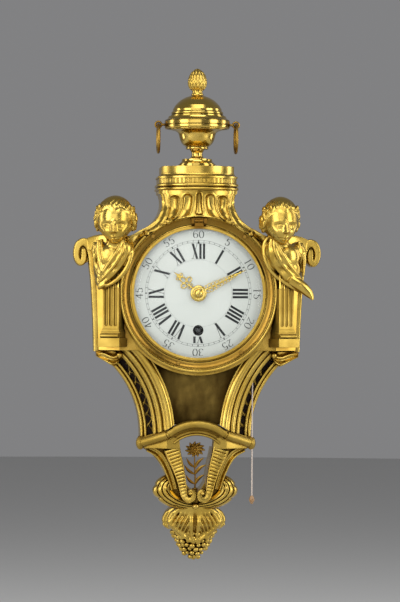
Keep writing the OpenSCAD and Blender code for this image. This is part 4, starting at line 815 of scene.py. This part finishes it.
def child_head(name):
    bpy.ops.mesh.primitive_ico_sphere_add(subdivisions=7, radius=1, location=(0, 0, 0))
    made = bpy.context.object
    made.name = name
    half_wide, half_deep, half_tall = 14.4, 16.6, 18.2
    for vertex in made.data.vertices:
        px, py, pz = vertex.co
        x, y, z = px * half_wide, py * half_deep, pz * half_tall
        jaw = ease(-3, -17, z)
        x *= 1 - 0.3 * jaw
        y *= 1 - 0.1 * jaw * (py < 0) - 0.05 * ease(2, 17, z) * (py > 0)
        y += 0.5 * jaw
        front = ease(0.25, 0.7, py)
        y += front * face_relief(x, z)
        hair = hair_share(x, y, z)
        if hair > 0:
            round_angle = atan2(x, y + 4)
            height = acos(max(-1, min(1, pz)))
            lock = sin(round_angle * 17 + 2.2 * sin(height * 5 + round_angle * 3))
            fine = sin(round_angle * 52 + 3.1 * sin(height * 6.5 + round_angle * 4))
            grow = hair * 0.9 + ease(0.7, 1, hair) * ease(0.15, 0.8, height) * (0.5 * abs(lock) + 0.2 * fine - 0.25)
            x, y, z = x + px * grow, y + py * grow, z + pz * grow * 0.7
        vertex.co = (x, y, z)
    return made


def curl(centre, size, spin):
    """Rolled lock: a short coil of hair that tapers to its middle."""
    spots, radii, last = [], [], 23
    for i in range(last + 1):
        turn = spin + i * 0.46
        near = size * (1 - 0.72 * i / last)
        spots.append((centre[0] + 0.25 * size * i / last * (1 if centre[0] > 0 else -1), centre[1] + near * cos(turn),
                      centre[2] + near * sin(turn)))
        radii.append(1.15 - 0.3 * i / last)
    return new_curve("curl", spots, 0.36 * size, 3, radii)


curl_places = [
    (14.6, 1.4, 4.2, 2.7), (15.4, -2, 1.2, 3.3), (15, 1.2, -1.8, 2.8), (14.8, -3.4, -3.2, 3.3), (13.8, -0.6, -5.4, 2.7),
    (13.2, 4.6, 7.6, 2.4), (11.4, 7.8, 10.6, 2.2), (14, -0.6, 8, 2.6), (12.8, -6.4, -0.6, 2.9), (12.2, -6.4, -5.4, 2.8),
    (9.6, -9.8, -5.8, 2.7), (6.4, -12, -6.4, 2.6), (2.2, -13.4, -6.6, 2.6)]


def egg(centre, radii, segments=32):
    bpy.ops.mesh.primitive_uv_sphere_add(segments=segments, ring_count=segments // 2, radius=1, location=centre)
    made = bpy.context.object
    made.scale = radii
    bpy.ops.object.transform_apply(location=True, rotation=True, scale=True)
    return made


def fold(points, radii, trunk, lift=0, sink=0.4):
    """Rounded fold of cloth that lies on the trunk along points of (x, z), with two end radii or one at each point."""
    spots, wides, depth = [], [], None
    for i, (x, z) in enumerate(points):
        hit, place, _, _ = trunk.ray_cast(Vector((x, -140, z)), Vector((0, 1, 0)))
        depth = place.y if hit else depth if depth is not None else -62
        t = i / (len(points) - 1)
        swell = 0.72 + 0.28 * sin(pi * min(1, t + 0.12))
        wide = radii[i] if len(radii) > 2 else (radii[0] + (radii[1] - radii[0]) * t) * swell
        spots.append((x, max(-76, depth + wide * sink - lift), z))
        wides.append(wide)
    made = new_curve("fold", spots, 1, 4, wides, "NURBS")
    spline = made.data.splines[0]
    spline.use_endpoint_u = True
    spline.order_u = 3
    made.data.resolution_u = 8
    return made


torso_eggs = [
    ((59.8, -64.2, 34.6), (7.4, 7.4, 8)), ((79, -56.8, 33.6), (7.4, 8.4, 8.4)),
    ((68.6, -62.6, 29.6), (12.6, 9.8, 11.4)), ((72.8, -60.5, 19), (9.2, 8.6, 11.5)),
    ((76.4, -58, 10.5), (6.6, 8, 8)), ((75.5, -54, 21.5), (9, 9, 17.5)), ((63.4, -61.4, 28), (8.2, 8.4, 9.5))]
cloth_lines = {
    1: [([(57.4, 46.6), (52.8, 42.4), (51.7, 34), (55, 22), (63.4, 12.4), (73, 6.2), (81, 2)], (2.5, 2.1), 0.3),
        ([(58.4, 46), (55.6, 38.6), (57.8, 27.6), (64.2, 17.8), (72.4, 10.8), (80, 6.4)], (2.1, 1.7), 0.7),
        ([(59.4, 45.4), (59, 37.6), (62.8, 28.6), (68.6, 20.4), (75.4, 13.6), (81, 9.4)], (1.9, 1.5), 0.9),
        ([(60.6, 44.6), (62.6, 37), (67.2, 29.4), (72.8, 22.2), (78.6, 15.2), (82, 11.4)], (1.8, 1.5), 0.9),
        ([(82.4, 40.6), (84.4, 33), (84.6, 24), (83.6, 14)], (1.9, 1.5), 0),
        ([(79.6, 42), (81.6, 34.6), (82.4, 25), (82.2, 17)], (1.6, 1.2), 0.3),
        ([(72, 13), (78, 9), (83, 5.4), (87.6, 1.2), (90.2, -2.4), (91.4, -4.8)],
         (3.4, 4.6, 4.8, 4, 2.4, 0.8), 0.2),
        ([(72, 9), (78, 5.6), (83.6, 2), (88.4, -1.6), (91.2, -5)], (1.2, 1.3, 1.3, 1, 0.6), 2.6)],
    -1: [([(58, 44.6), (54.4, 40.4), (53.8, 33), (57, 21.6), (62.6, 13.6), (70, 7.2), (78, 4.2)], (2.3, 2), 0.2),
         ([(59, 44.4), (57, 37.6), (59.6, 27.4), (65.4, 18.4), (72.6, 11), (79, 6.8)], (2, 1.6), 0.6),
         ([(60.4, 44), (60.4, 37), (64, 28.6), (69.6, 20.6), (75.6, 13.6), (79.6, 9.4)], (1.8, 1.5), 0.9),
         ([(62, 43.4), (64, 36.8), (68.2, 30), (73.2, 23), (77.6, 16)], (1.7, 1.4), 0.9),
         ([(83.4, 40), (84, 31.6), (82.6, 22), (80, 12.6)], (2.1, 1.6), 0.2),
         ([(80.6, 42), (81.2, 34), (80, 25.4), (78, 16.6)], (1.9, 1.5), 0.5),
         ([(77.8, 42.6), (78.4, 36.4), (77.6, 30), (76.4, 23.6)], (1.7, 1.3), 0.6),
         ([(75, 7.6), (78.4, 5.6), (80.2, 3.8)], (2.6, 1.8), 1),
         ([(78.8, 6.4), (80, 4.6), (79.6, 2.6)], (2.3, 1.6), 1.6)]}


def shaft_stub(side):
    """Fluted head of the pilaster that shows under the cloth."""
    shaft_x, shaft_d, cant_cos, cant_sin = 65.5, 51.73, 0.891, 0.454
    run = [-7 + 14 * i / 84 for i in range(85)]
    cuts = [max([0] + [sqrt(max(0, 2.25 - (u - c) ** 2)) for c in (-4.06, 0, 4.06)]) for u in run]
    line = [(u, 11 - cut) for u, cut in zip(run, cuts)] + [(7, 1), (-7, 1)]
    corners = []
    for z in (4.05, 29.5):
        for u, n in line:
            x, d = shaft_x + cant_cos * u + cant_sin * n, shaft_d - cant_sin * u + cant_cos * n
            corners.append((side * (max(x, 64.3) if d < 61.5 else x), -d, z))
    size = len(line)
    walls = [(i, (i + 1) % size, size + (i + 1) % size, size + i) for i in range(size)]
    made = new_mesh("shaft_stub", corners, [], walls + [tuple(range(size)), tuple(range(size, 2 * size))])
    pick(made)
    outward()
    bpy.ops.object.shade_smooth_by_angle(angle=radians(35))
    return made


for side, word, yaw, nod, spot, wide in ((-1, "left", -7.5, 5, -67.4, 1.03), (1, "right", 14, 4, 64.4, 0.98)):
    base = [egg((side * c[0], c[1], c[2]), r) for c, r in torso_eggs]
    trunk = to_mesh(base + [egg((spot, -65.6, 43), (7.2, 7.2, 8.4))], word + "_trunk")
    weld_smooth(trunk, 0.9, 8)
    cloth = [fold([(side * x, z) for x, z in points], radii, trunk, lift) for points, radii, lift in cloth_lines[side]]
    bust = to_mesh([trunk] + cloth, word + "_bust")
    weld_smooth(bust, 0.5, 3)
    head = child_head(word + "_head")
    locks = [curl((s * x, y, z), size, i * 1.7 + s) for s in (-1, 1) for i, (x, y, z, size) in enumerate(curl_places)]
    locks = to_mesh(locks, word + "_locks")
    head = to_mesh([head, locks], word + "_head")
    weld_smooth(head, 0.34, 1)
    head.matrix_world = (Matrix.Translation((spot, -68, 57.7)) @ Matrix.Rotation(radians(yaw), 4, "Z")
                         @ Matrix.Rotation(radians(180), 4, "Z") @ Matrix.Rotation(radians(-nod), 4, "X")
                         @ Matrix.Diagonal((wide, 1, 1.06, 1)))
    bpy.ops.object.transform_apply(location=True, rotation=True, scale=True)
    bust = to_mesh([bust, head, shaft_stub(side)], word + "_bust")
    for vertex in bust.data.vertices:
        x, y, z = vertex.co
        vertex.co = at(x, -y, z)
    put(bust, gilt_cast, "bust_" + word)

# Arched cornice: a fat half-round roll bends over the lower opening and runs out to both sides in mitred lengths.
# Rounded caps close its ends; under it lie a coved band, a flat bed and the spandrels over the brackets.
# All of it is one casting.
arch_z, arch_r, arch_d, roll_r, arch_turn = -141.4, 36, 45.8, 3.5, radians(39.2)


def round_bar(name, spots, radius):
    """Straight-capped round bar along (x, d, z) points."""
    return to_mesh([new_curve(name, [at(*spot) for spot in spots], radius / 1000, 6)], name)


arch_bits = [round_bar("roll", [(arch_r * sin(arch_turn * k / 24), arch_d, arch_z + arch_r * cos(arch_turn * k / 24))
                                for k in range(-24, 25)], roll_r)]
band_steps = [(36, 43), (33.6, 43), (32.9, 45), (31.9, 45.2), (31.5, 43.4), (30.4, 42.7), (29, 42.9),
              (28.3, 45.2), (27.2, 45.4), (26.7, 44.4)]
arch_bits.append(relief_sheet("band", [[(r * sin(radians(a)), d, arch_z + r * cos(radians(a)))
                                        for a in range(-42, 43, 2)] for r, d in band_steps], 0.4))
for side in (-1, 1):
    side_line = [(side * 23.6, 45.4, -114), (side * 33, 40.4, -117.2), (side * 43.4, 34.6, -120.6)]
    arch_bits.append(round_bar("side_roll", side_line, 3.7))
    arch_bits.append(egg(at(side * 23.1, 45.7, -113.8), (0.0028, 0.0028, 0.0028), 32))
    arch_bits.append(round_bar("collar", [(side * 43.2, 34.7, -120.4), (side * 44.2, 34.1, -120.7)], 4.3))
    arch_bits.append(egg(at(side * 45, 32.6, -121), (0.0036, 0.005, 0.0056), 32))
    bed = [[(24, 42.6, -110), (34, 37.2, -113.4), (45.4, 31, -117)],
           [(24, 44.4, -118.8), (34, 38.6, -121), (45.6, 32, -123.4)],
           [(24, 44.6, -120), (34, 39, -122.2), (45.8, 32.4, -124.2)],
           [(24, 44.4, -125.2), (34, 38.8, -125.2), (45.6, 32.2, -125.2)]]
    arch_bits.append(relief_sheet("bed", mirrored(side, bed), 0.4))
    spandrel = [[(14, 44, -117.4), (24.1, 44.4, -114.6)], [(13.4, 44, -125.3), (24.1, 44.4, -125.3)]]
    arch_bits.append(relief_sheet("spandrel", mirrored(side, spandrel), 26))
finish(arch_bits, "arched_cornice", "arch_cornice", 38, gilt_matt)

# Side frets: a thin leafy scroll, cut from gilt sheet, climbs in the slot of each leg before a strip of brown silk.
# The silk keeps dust out and lets the bell be heard. A small leaf curls over the top of the slot, out to the corner.
fret_x, fret_z, fret_r, fret_d = 127, -115, 91, 24
silk = Finish("brown_silk")
silk.look(silk.mix(silk.noise(1800, 2), (0.022, 0.010, 0.005), (0.045, 0.020, 0.010)), 0.8)
tongue_top = smooth_line([(61.4, -49), (66, -47.2), (72, -46.9), (78, -46.9), (81.8, -47.2)], 8)
tongue_low = smooth_line([(62.6, -55), (66.4, -58.6), (70, -57.6), (75.4, -54.4), (81.2, -51.2)], 8)


def in_slot(side, turn, off):
    """Point of the slot at an angle in degrees, off millimetres outside its middle line, as (x, z)."""
    r, a = fret_r + off, radians(turn)
    return side * (fret_x + r * cos(a)), fret_z + r * sin(a)


for side, word in both_sides:
    lines = [([in_slot(side, 140.4 + 0.4 * i, 1.3 * sin(0.42 * i)) for i in range(96)], 0.55)]
    for k in range(13):
        turn, hand = 142 + 2.9 * k, (-1) ** k
        leaf = [in_slot(side, turn + 1.5 * t, hand * (0.4 + 2.5 * sin(1.9 * t)))
                for t in (0, 0.25, 0.5, 0.75, 1, 1.2)]
        tip = [in_slot(side, turn + 1.2 - 0.9 * t, hand * (2.6 - 1.3 * t)) for t in (0, 0.35, 0.7, 1)]
        lines += [(leaf, 0.72), (tip, 0.6)]
    scroll = flat_wire(word + "_scroll_leaf", lines, fret_d - 1.2, 0.9)
    rows = []
    for i in range(25):
        w = i / 24
        row = []
        for (xa, za), (xb, zb) in zip(tongue_top, tongue_low):
            crest = hill(w, 0.30 + 0.1 * sin(0.3 * xa), 0.16) + 0.8 * hill(w, 0.86, 0.12) - 0.35 * hill(w, 0.58, 0.08)
            row.append((side * (xa + (xb - xa) * w), 39 + 0.5 * (xa - 62) + 1.5 * crest, za + (zb - za) * w))
        rows.append(row)
    tongue = relief_sheet(word + "_tongue", rows, 25)
    tip = egg(at(side * 62.6, 40.6, -49.6), (0.0026, 0.0026, 0.0028), 24)
    finish([scroll, tongue, tip], word + "_fret", "side_frets", 50)
    strip = [[(x, d, z) for x, z in (in_slot(side, 128 + i, off) for i in range(56))]
             for off, d in ((-4.4, fret_d - 1.6), (2, fret_d - 1.6), (2, 36.8), (2.8, 36.8))]
    backing = relief_sheet(word + "_silk", strip, fret_d - 1.9)
    put(backing, silk.made)

# Consoles: two cast scroll brackets beside the lower opening, broad under the arch and curling inward at the foot.
# Their fronts are chased with soft cross ribs between two plain fillets.
console_line = smooth_line([
    (19.9, -125.3, 6.6), (17.9, -132, 5.9), (15.4, -139, 5), (13.2, -146.5, 4.1), (11.7, -153, 3.4), (10.7, -159, 2.9),
    (9.2, -164.2, 2.6), (6, -166.6, 2.4), (3, -165, 2.1), (2.2, -161.6, 1.8), (3.9, -159.2, 1.5), (5.8, -160.2, 1.3),
    (6, -162.2, 1.1)], 28)


def ribbed(w, t, gone):
    wave = abs(sin(pi * gone / 2.75)) ** 0.6
    fade = (1 - ease(31, 43, gone)) * (1 - ease(0.70, 0.80, abs(w)))
    edge = ease(0.74, 0.82, abs(w)) * (1 - ease(0.93, 1, abs(w)))
    return 43.4 + 0.5 * (1 - w * w) + 1.1 * fade * (wave - 0.75) + 0.7 * edge + 1.3 * ease(36, 52, gone)


for side, word in both_sides:
    console = relief_sheet("console", band_rows(console_line, side, ribbed, 34), 26)
    eye = egg(at(side * 4.9, 44.6, -161.2), (0.0017, 0.0022, 0.0017), 20)
    finish([console, eye], word + "_console", "consoles")

# Cheeks: the broad curved borders of the lower case beside the brackets, raised to a round bead along the outside.
# They are cast with the lower case and burnished.
cheek_line = smooth_line([
    (39, -125.4, 2.6), (31.4, -129.4, 3), (26.4, -135.2, 3.1), (22.8, -142.4, 3), (19.8, -150.4, 2.8),
    (17.6, -158.6, 2.5)], 14)


def bordered(w, t, gone):
    return 35.6 + 1.5 * hill(w, 0.72, 0.34) - 0.45 * hill(w, -0.1, 0.3) + 0.5 * hill(w, -0.75, 0.3)


for side, word in both_sides:
    finish([relief_sheet("cheek", band_rows(cheek_line, side, bordered, 20), 25.6)], word + "_cheek")

# Acanthus scrolls: a leaf rolls out of each side of the lower case, swells outward and turns under the consoles.
# Each is cast in one with lengthwise flutes and lobes along its edge. The case's foot is drawn in between them.
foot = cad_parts["lower_case"].copy()
foot.data = foot.data.copy()
foot.name = "drawn_in_foot"
scene.collection.objects.link(foot)
pick(foot)
bpy.ops.object.mode_set(mode="EDIT")
bpy.ops.mesh.select_all(action="SELECT")
bpy.ops.mesh.remove_doubles(threshold=0.000001)
bpy.ops.object.mode_set(mode="OBJECT")
for vertex in foot.data.vertices:
    reach = 0.0165 + 0.8 * max(0, vertex.co.z - at(0, 0, -174).z)
    vertex.co.x = max(-reach, min(reach, vertex.co.x))
put(foot, gilt_cast, "lower_case")
leaf_edge = smooth_line([
    (14.6, -147.6), (19.6, -146.4), (26, -147.8), (31.2, -151.6), (34.2, -156.6), (34.4, -161.4), (31.4, -166.4),
    (26.4, -170.4), (20.4, -173.4), (12, -175.4), (3, -175.8)], 20)
leaf_heart = smooth_line([
    (13.8, -151), (15.6, -152.4), (17.4, -153.6), (18.6, -155.4), (18.8, -158), (17.6, -160.6), (15.4, -162.8),
    (12.6, -164.8), (9.6, -166.6), (6, -168.4), (2, -169.4)], 20)
for side, word in both_sides:
    rows = []
    for i, ((xo, zo), (xi, zi)) in enumerate(zip(leaf_edge, leaf_heart)):
        t = i / (len(leaf_edge) - 1)
        lobe = abs(sin(pi * (4.6 * t ** 0.9 + 0.1)))
        row = []
        for k in range(57):
            w = k / 56
            reach = w * (1 - 0.075 * (1 - lobe) ** 2 * ease(0.1, 0.25, t) * ease(0.5, 1, w))
            swell = max(0, sin(pi * (0.2 + 0.8 * w))) ** 0.5
            groove = sum(hill(w, at_w + 0.05 * sin(3.4 * t), 0.028) for at_w in (0.26, 0.5, 0.73))
            rise = 9.4 * swell * ease(-0.08, 0.3, t) * (1 - 0.35 * ease(0.7, 1, t))
            d = 26.6 + rise - 1.5 * groove * ease(0.02, 0.14, t)
            d -= 1.3 * (1 - lobe) ** 3 * ease(0.45, 0.95, w)
            row.append((side * (xi + (xo - xi) * reach), max(26.1, d), zi + (zo - zi) * reach))
        rows.append(row)
    leaf = relief_sheet("leaf", rows, 25.6)
    curls = [egg(at(side * x, d, z), (r / 1000, r * 1.1 / 1000, r / 1000), 20)
             for x, d, z, r in ((19.4, 33.4, -155, 2.1), (24.2, 35, -157.6, 1.6))]
    finish([leaf] + curls, word + "_acanthus", "acanthus_leaves", 60)

# Pendant: the cast drop under the case, a broad acanthus leaf folded over a bunch of berries.
# The leaf has a split middle rib and feathered veins, its side lobes turn out; the berries close to a point.
drop_table = [
    (171.4, 10.5), (173, 16), (175, 19.8), (178, 22.9), (182, 24.6), (185.4, 25), (188.5, 24.2), (191, 21.6), (194, 19),
    (198, 16.8), (205, 13.4), (211.8, 8.4), (216.3, 3.8), (217.7, 0.4)]
drop_top, leaf_tall, leaf_wrap, drop_flat = -171.6, 28, radians(96), 0.92


def drop_radius(z):
    return between(drop_table, -z)


def leaf_height(a, v):
    """Relief of the leaf: a split middle rib, feather strokes that part from it, two eyes and a thick rolled rim."""
    rim = hypot((a - 0.17) / 0.36, (v - 0.46) / 0.44)
    lift = 1.7 * hill(a, 0.075, 0.045) * (1 - ease(0.9, 1.1, v)) - 1.5 * hill(a, 0, 0.026)
    feather = 0.9 * cos(tau * (a - 0.42 * v * v) / 0.095) * ease(0.10, 0.16, a) * ease(0.16, 0.32, v)
    lift += feather * (1 - ease(0.78, 0.98, rim))
    lift += 2.4 * hill(rim, 1, 0.2) * ease(0.22, 0.36, a) - 1.2 * hill(rim, 1.45, 0.2) * ease(0.4, 0.55, a)
    lift += 1.4 * hill(a, 0.8, 0.13) * hill(v, 0.45, 0.3)
    for eye_a, eye_v in ((0.25, 0.34), (0.37, 0.27)):
        lift -= 1.5 * hill(a, eye_a, 0.024) * hill(v, eye_v, 0.07)
    return lift


rows = []
for j in range(141):
    row = []
    for k in range(401):
        u = k / 200 - 1
        a = abs(u)
        edge = 1.08 - 0.10 * ease(0, 0.35, a) - 0.30 * ease(0.38, 0.62, a) + 0.05 * abs(sin(a * 11.5))
        top = 0.12 * hill(a, 0, 0.11) + 0.05 * ease(0.5, 1, a)
        v = top + j / 140 * (edge - top)
        z = drop_top - leaf_tall * v
        lip = ease(edge - 0.15, edge - 0.04, v)
        r = drop_radius(z) + 0.3 + leaf_height(a, v) * (1 - 0.6 * lip) + 1.7 * lip - 1.2 * ease(0.05, 0, v - top)
        turn = leaf_wrap * u
        fore = r + max(0, 29 - r) * ease(-184, -173, z)
        row.append((r * sin(turn), 5.8 + drop_flat * fore * max(0.02, cos(turn)) ** 0.75, z))
    rows.append(row)
finish([relief_sheet("leaf", rows, 2)], "drop_leaf", "pendant", 60)
rows = []
for i in range(41):
    z = -174 - 42.4 * i / 40
    r = drop_radius(z) - 1.8
    rows.append([(r * sin(a), 4 + drop_flat * r * max(0, cos(a)), z) for a in (radians(t) for t in range(-96, 97, 8))])
berries = [open_sheet("drop_body", rows)]
for j in range(7):
    z = -195 - 3.35 * j
    r = drop_radius(z) - 1.1
    count = max(2, round(pi * r / 4.4))
    for k in range(count):
        turn = pi * ((k + 0.5 + 0.25 * (-1) ** j) / count - 0.5) + 0.05 * sin(5 * k + 3 * j)
        size = 2.45 - 0.06 * j + 0.3 * sin(k * 2.3 + j * 1.7)
        berries.append(egg(at(r * sin(turn), max(3.2, 5.6 + drop_flat * r * cos(turn)), z + 0.5 * sin(k * 1.9 + j)),
                           (size / 1000, size / 1000, size * 0.95 / 1000), 14))
for x, d, z in ((-2.4, 9, -215), (2.2, 8.6, -214.6), (0.1, 7.6, -215.8)):
    berries.append(egg(at(x, d, z), (0.0021, 0.0021, 0.002), 14))
finish(berries, "drop_berries", "pendant", 80)
finish([egg(at(0, 33.6, -172.2), (0.0027, 0.0027, 0.0027), 32)], "round_boss", "boss_bead", 80, gilt_turned)


# Flower sprig: cut and chased from thin gilt sheet, a broad bloom on a stem with three pairs of long leaves.
# It stands free in the lower opening with its foot pinned below; its darker gilding is painted shade for the shadow in
# the opening.
def petal(base, tip, half, depth, cup):
    """Pointed leaf of thin sheet from base to tip in (x, z), creased along its middle."""
    (xa, za), (xb, zb) = base, tip
    length = hypot(xb - xa, zb - za)
    nx, nz = -(zb - za) / length, (xb - xa) / length
    rows = []
    for i in range(13):
        t = i / 12
        w = half * sin(pi * (0.06 + 0.92 * t ** 0.8)) ** 0.9
        bow = 0.10 * length * sin(pi * t)
        x, z = xa + (xb - xa) * t, za + (zb - za) * t
        rows.append([(x + nx * (w * k + bow), depth + cup * t - 0.45 * abs(k) * abs(w), z + nz * (w * k + bow))
                     for k in (-1, -0.5, 0, 0.5, 1)])
    return open_sheet("petal", rows)


bits, bloom_z = [], -126.6
for side in (-1, 1):
    for low, (x, z), half in ((-155, (7.6, -147.2), 1.2), (-147, (8.8, -139.2), 1.2), (-141.6, (7, -133.6), 1.1)):
        bits.append(petal((0, low), (side * x, z), side * half, 23.2, 1.2))
for ring, (count, reach, depth, cup) in enumerate(((11, 8.2, 23.4, 0.4), (9, 6.4, 24.2, 1), (7, 4.2, 24.8, 1.2))):
    for k in range(count):
        turn = tau * (k + 0.5 * ring) / count
        tip = (reach * sin(turn), bloom_z + 0.78 * reach * cos(turn))
        bits.append(petal((0, bloom_z), tip, 1.5 - 0.2 * ring, depth, cup))
flower = to_mesh(bits, "flower")
sheet = flower.modifiers.new("sheet", "SOLIDIFY")
sheet.thickness = 0.0005
bpy.ops.object.modifier_apply(modifier="sheet")
stem_line = [at(0.35 * sin(i * 1.1), 22.8, -159.6 + 31 * i / 6) for i in range(7)]
stalk = to_mesh([new_curve("stem", stem_line, 0.00055, 3, [1.35 - 0.1 * i for i in range(7)])], "stem")
heart = egg(at(0, 25.4, bloom_z), (0.0016, 0.0011, 0.0014), 20)
foot = egg(at(0, 22.4, -159), (0.0028, 0.0022, 0.0011), 20)
finish([flower, stalk, heart, foot], "cut_sprig", "flower_sprig", 50, gilt_darker)
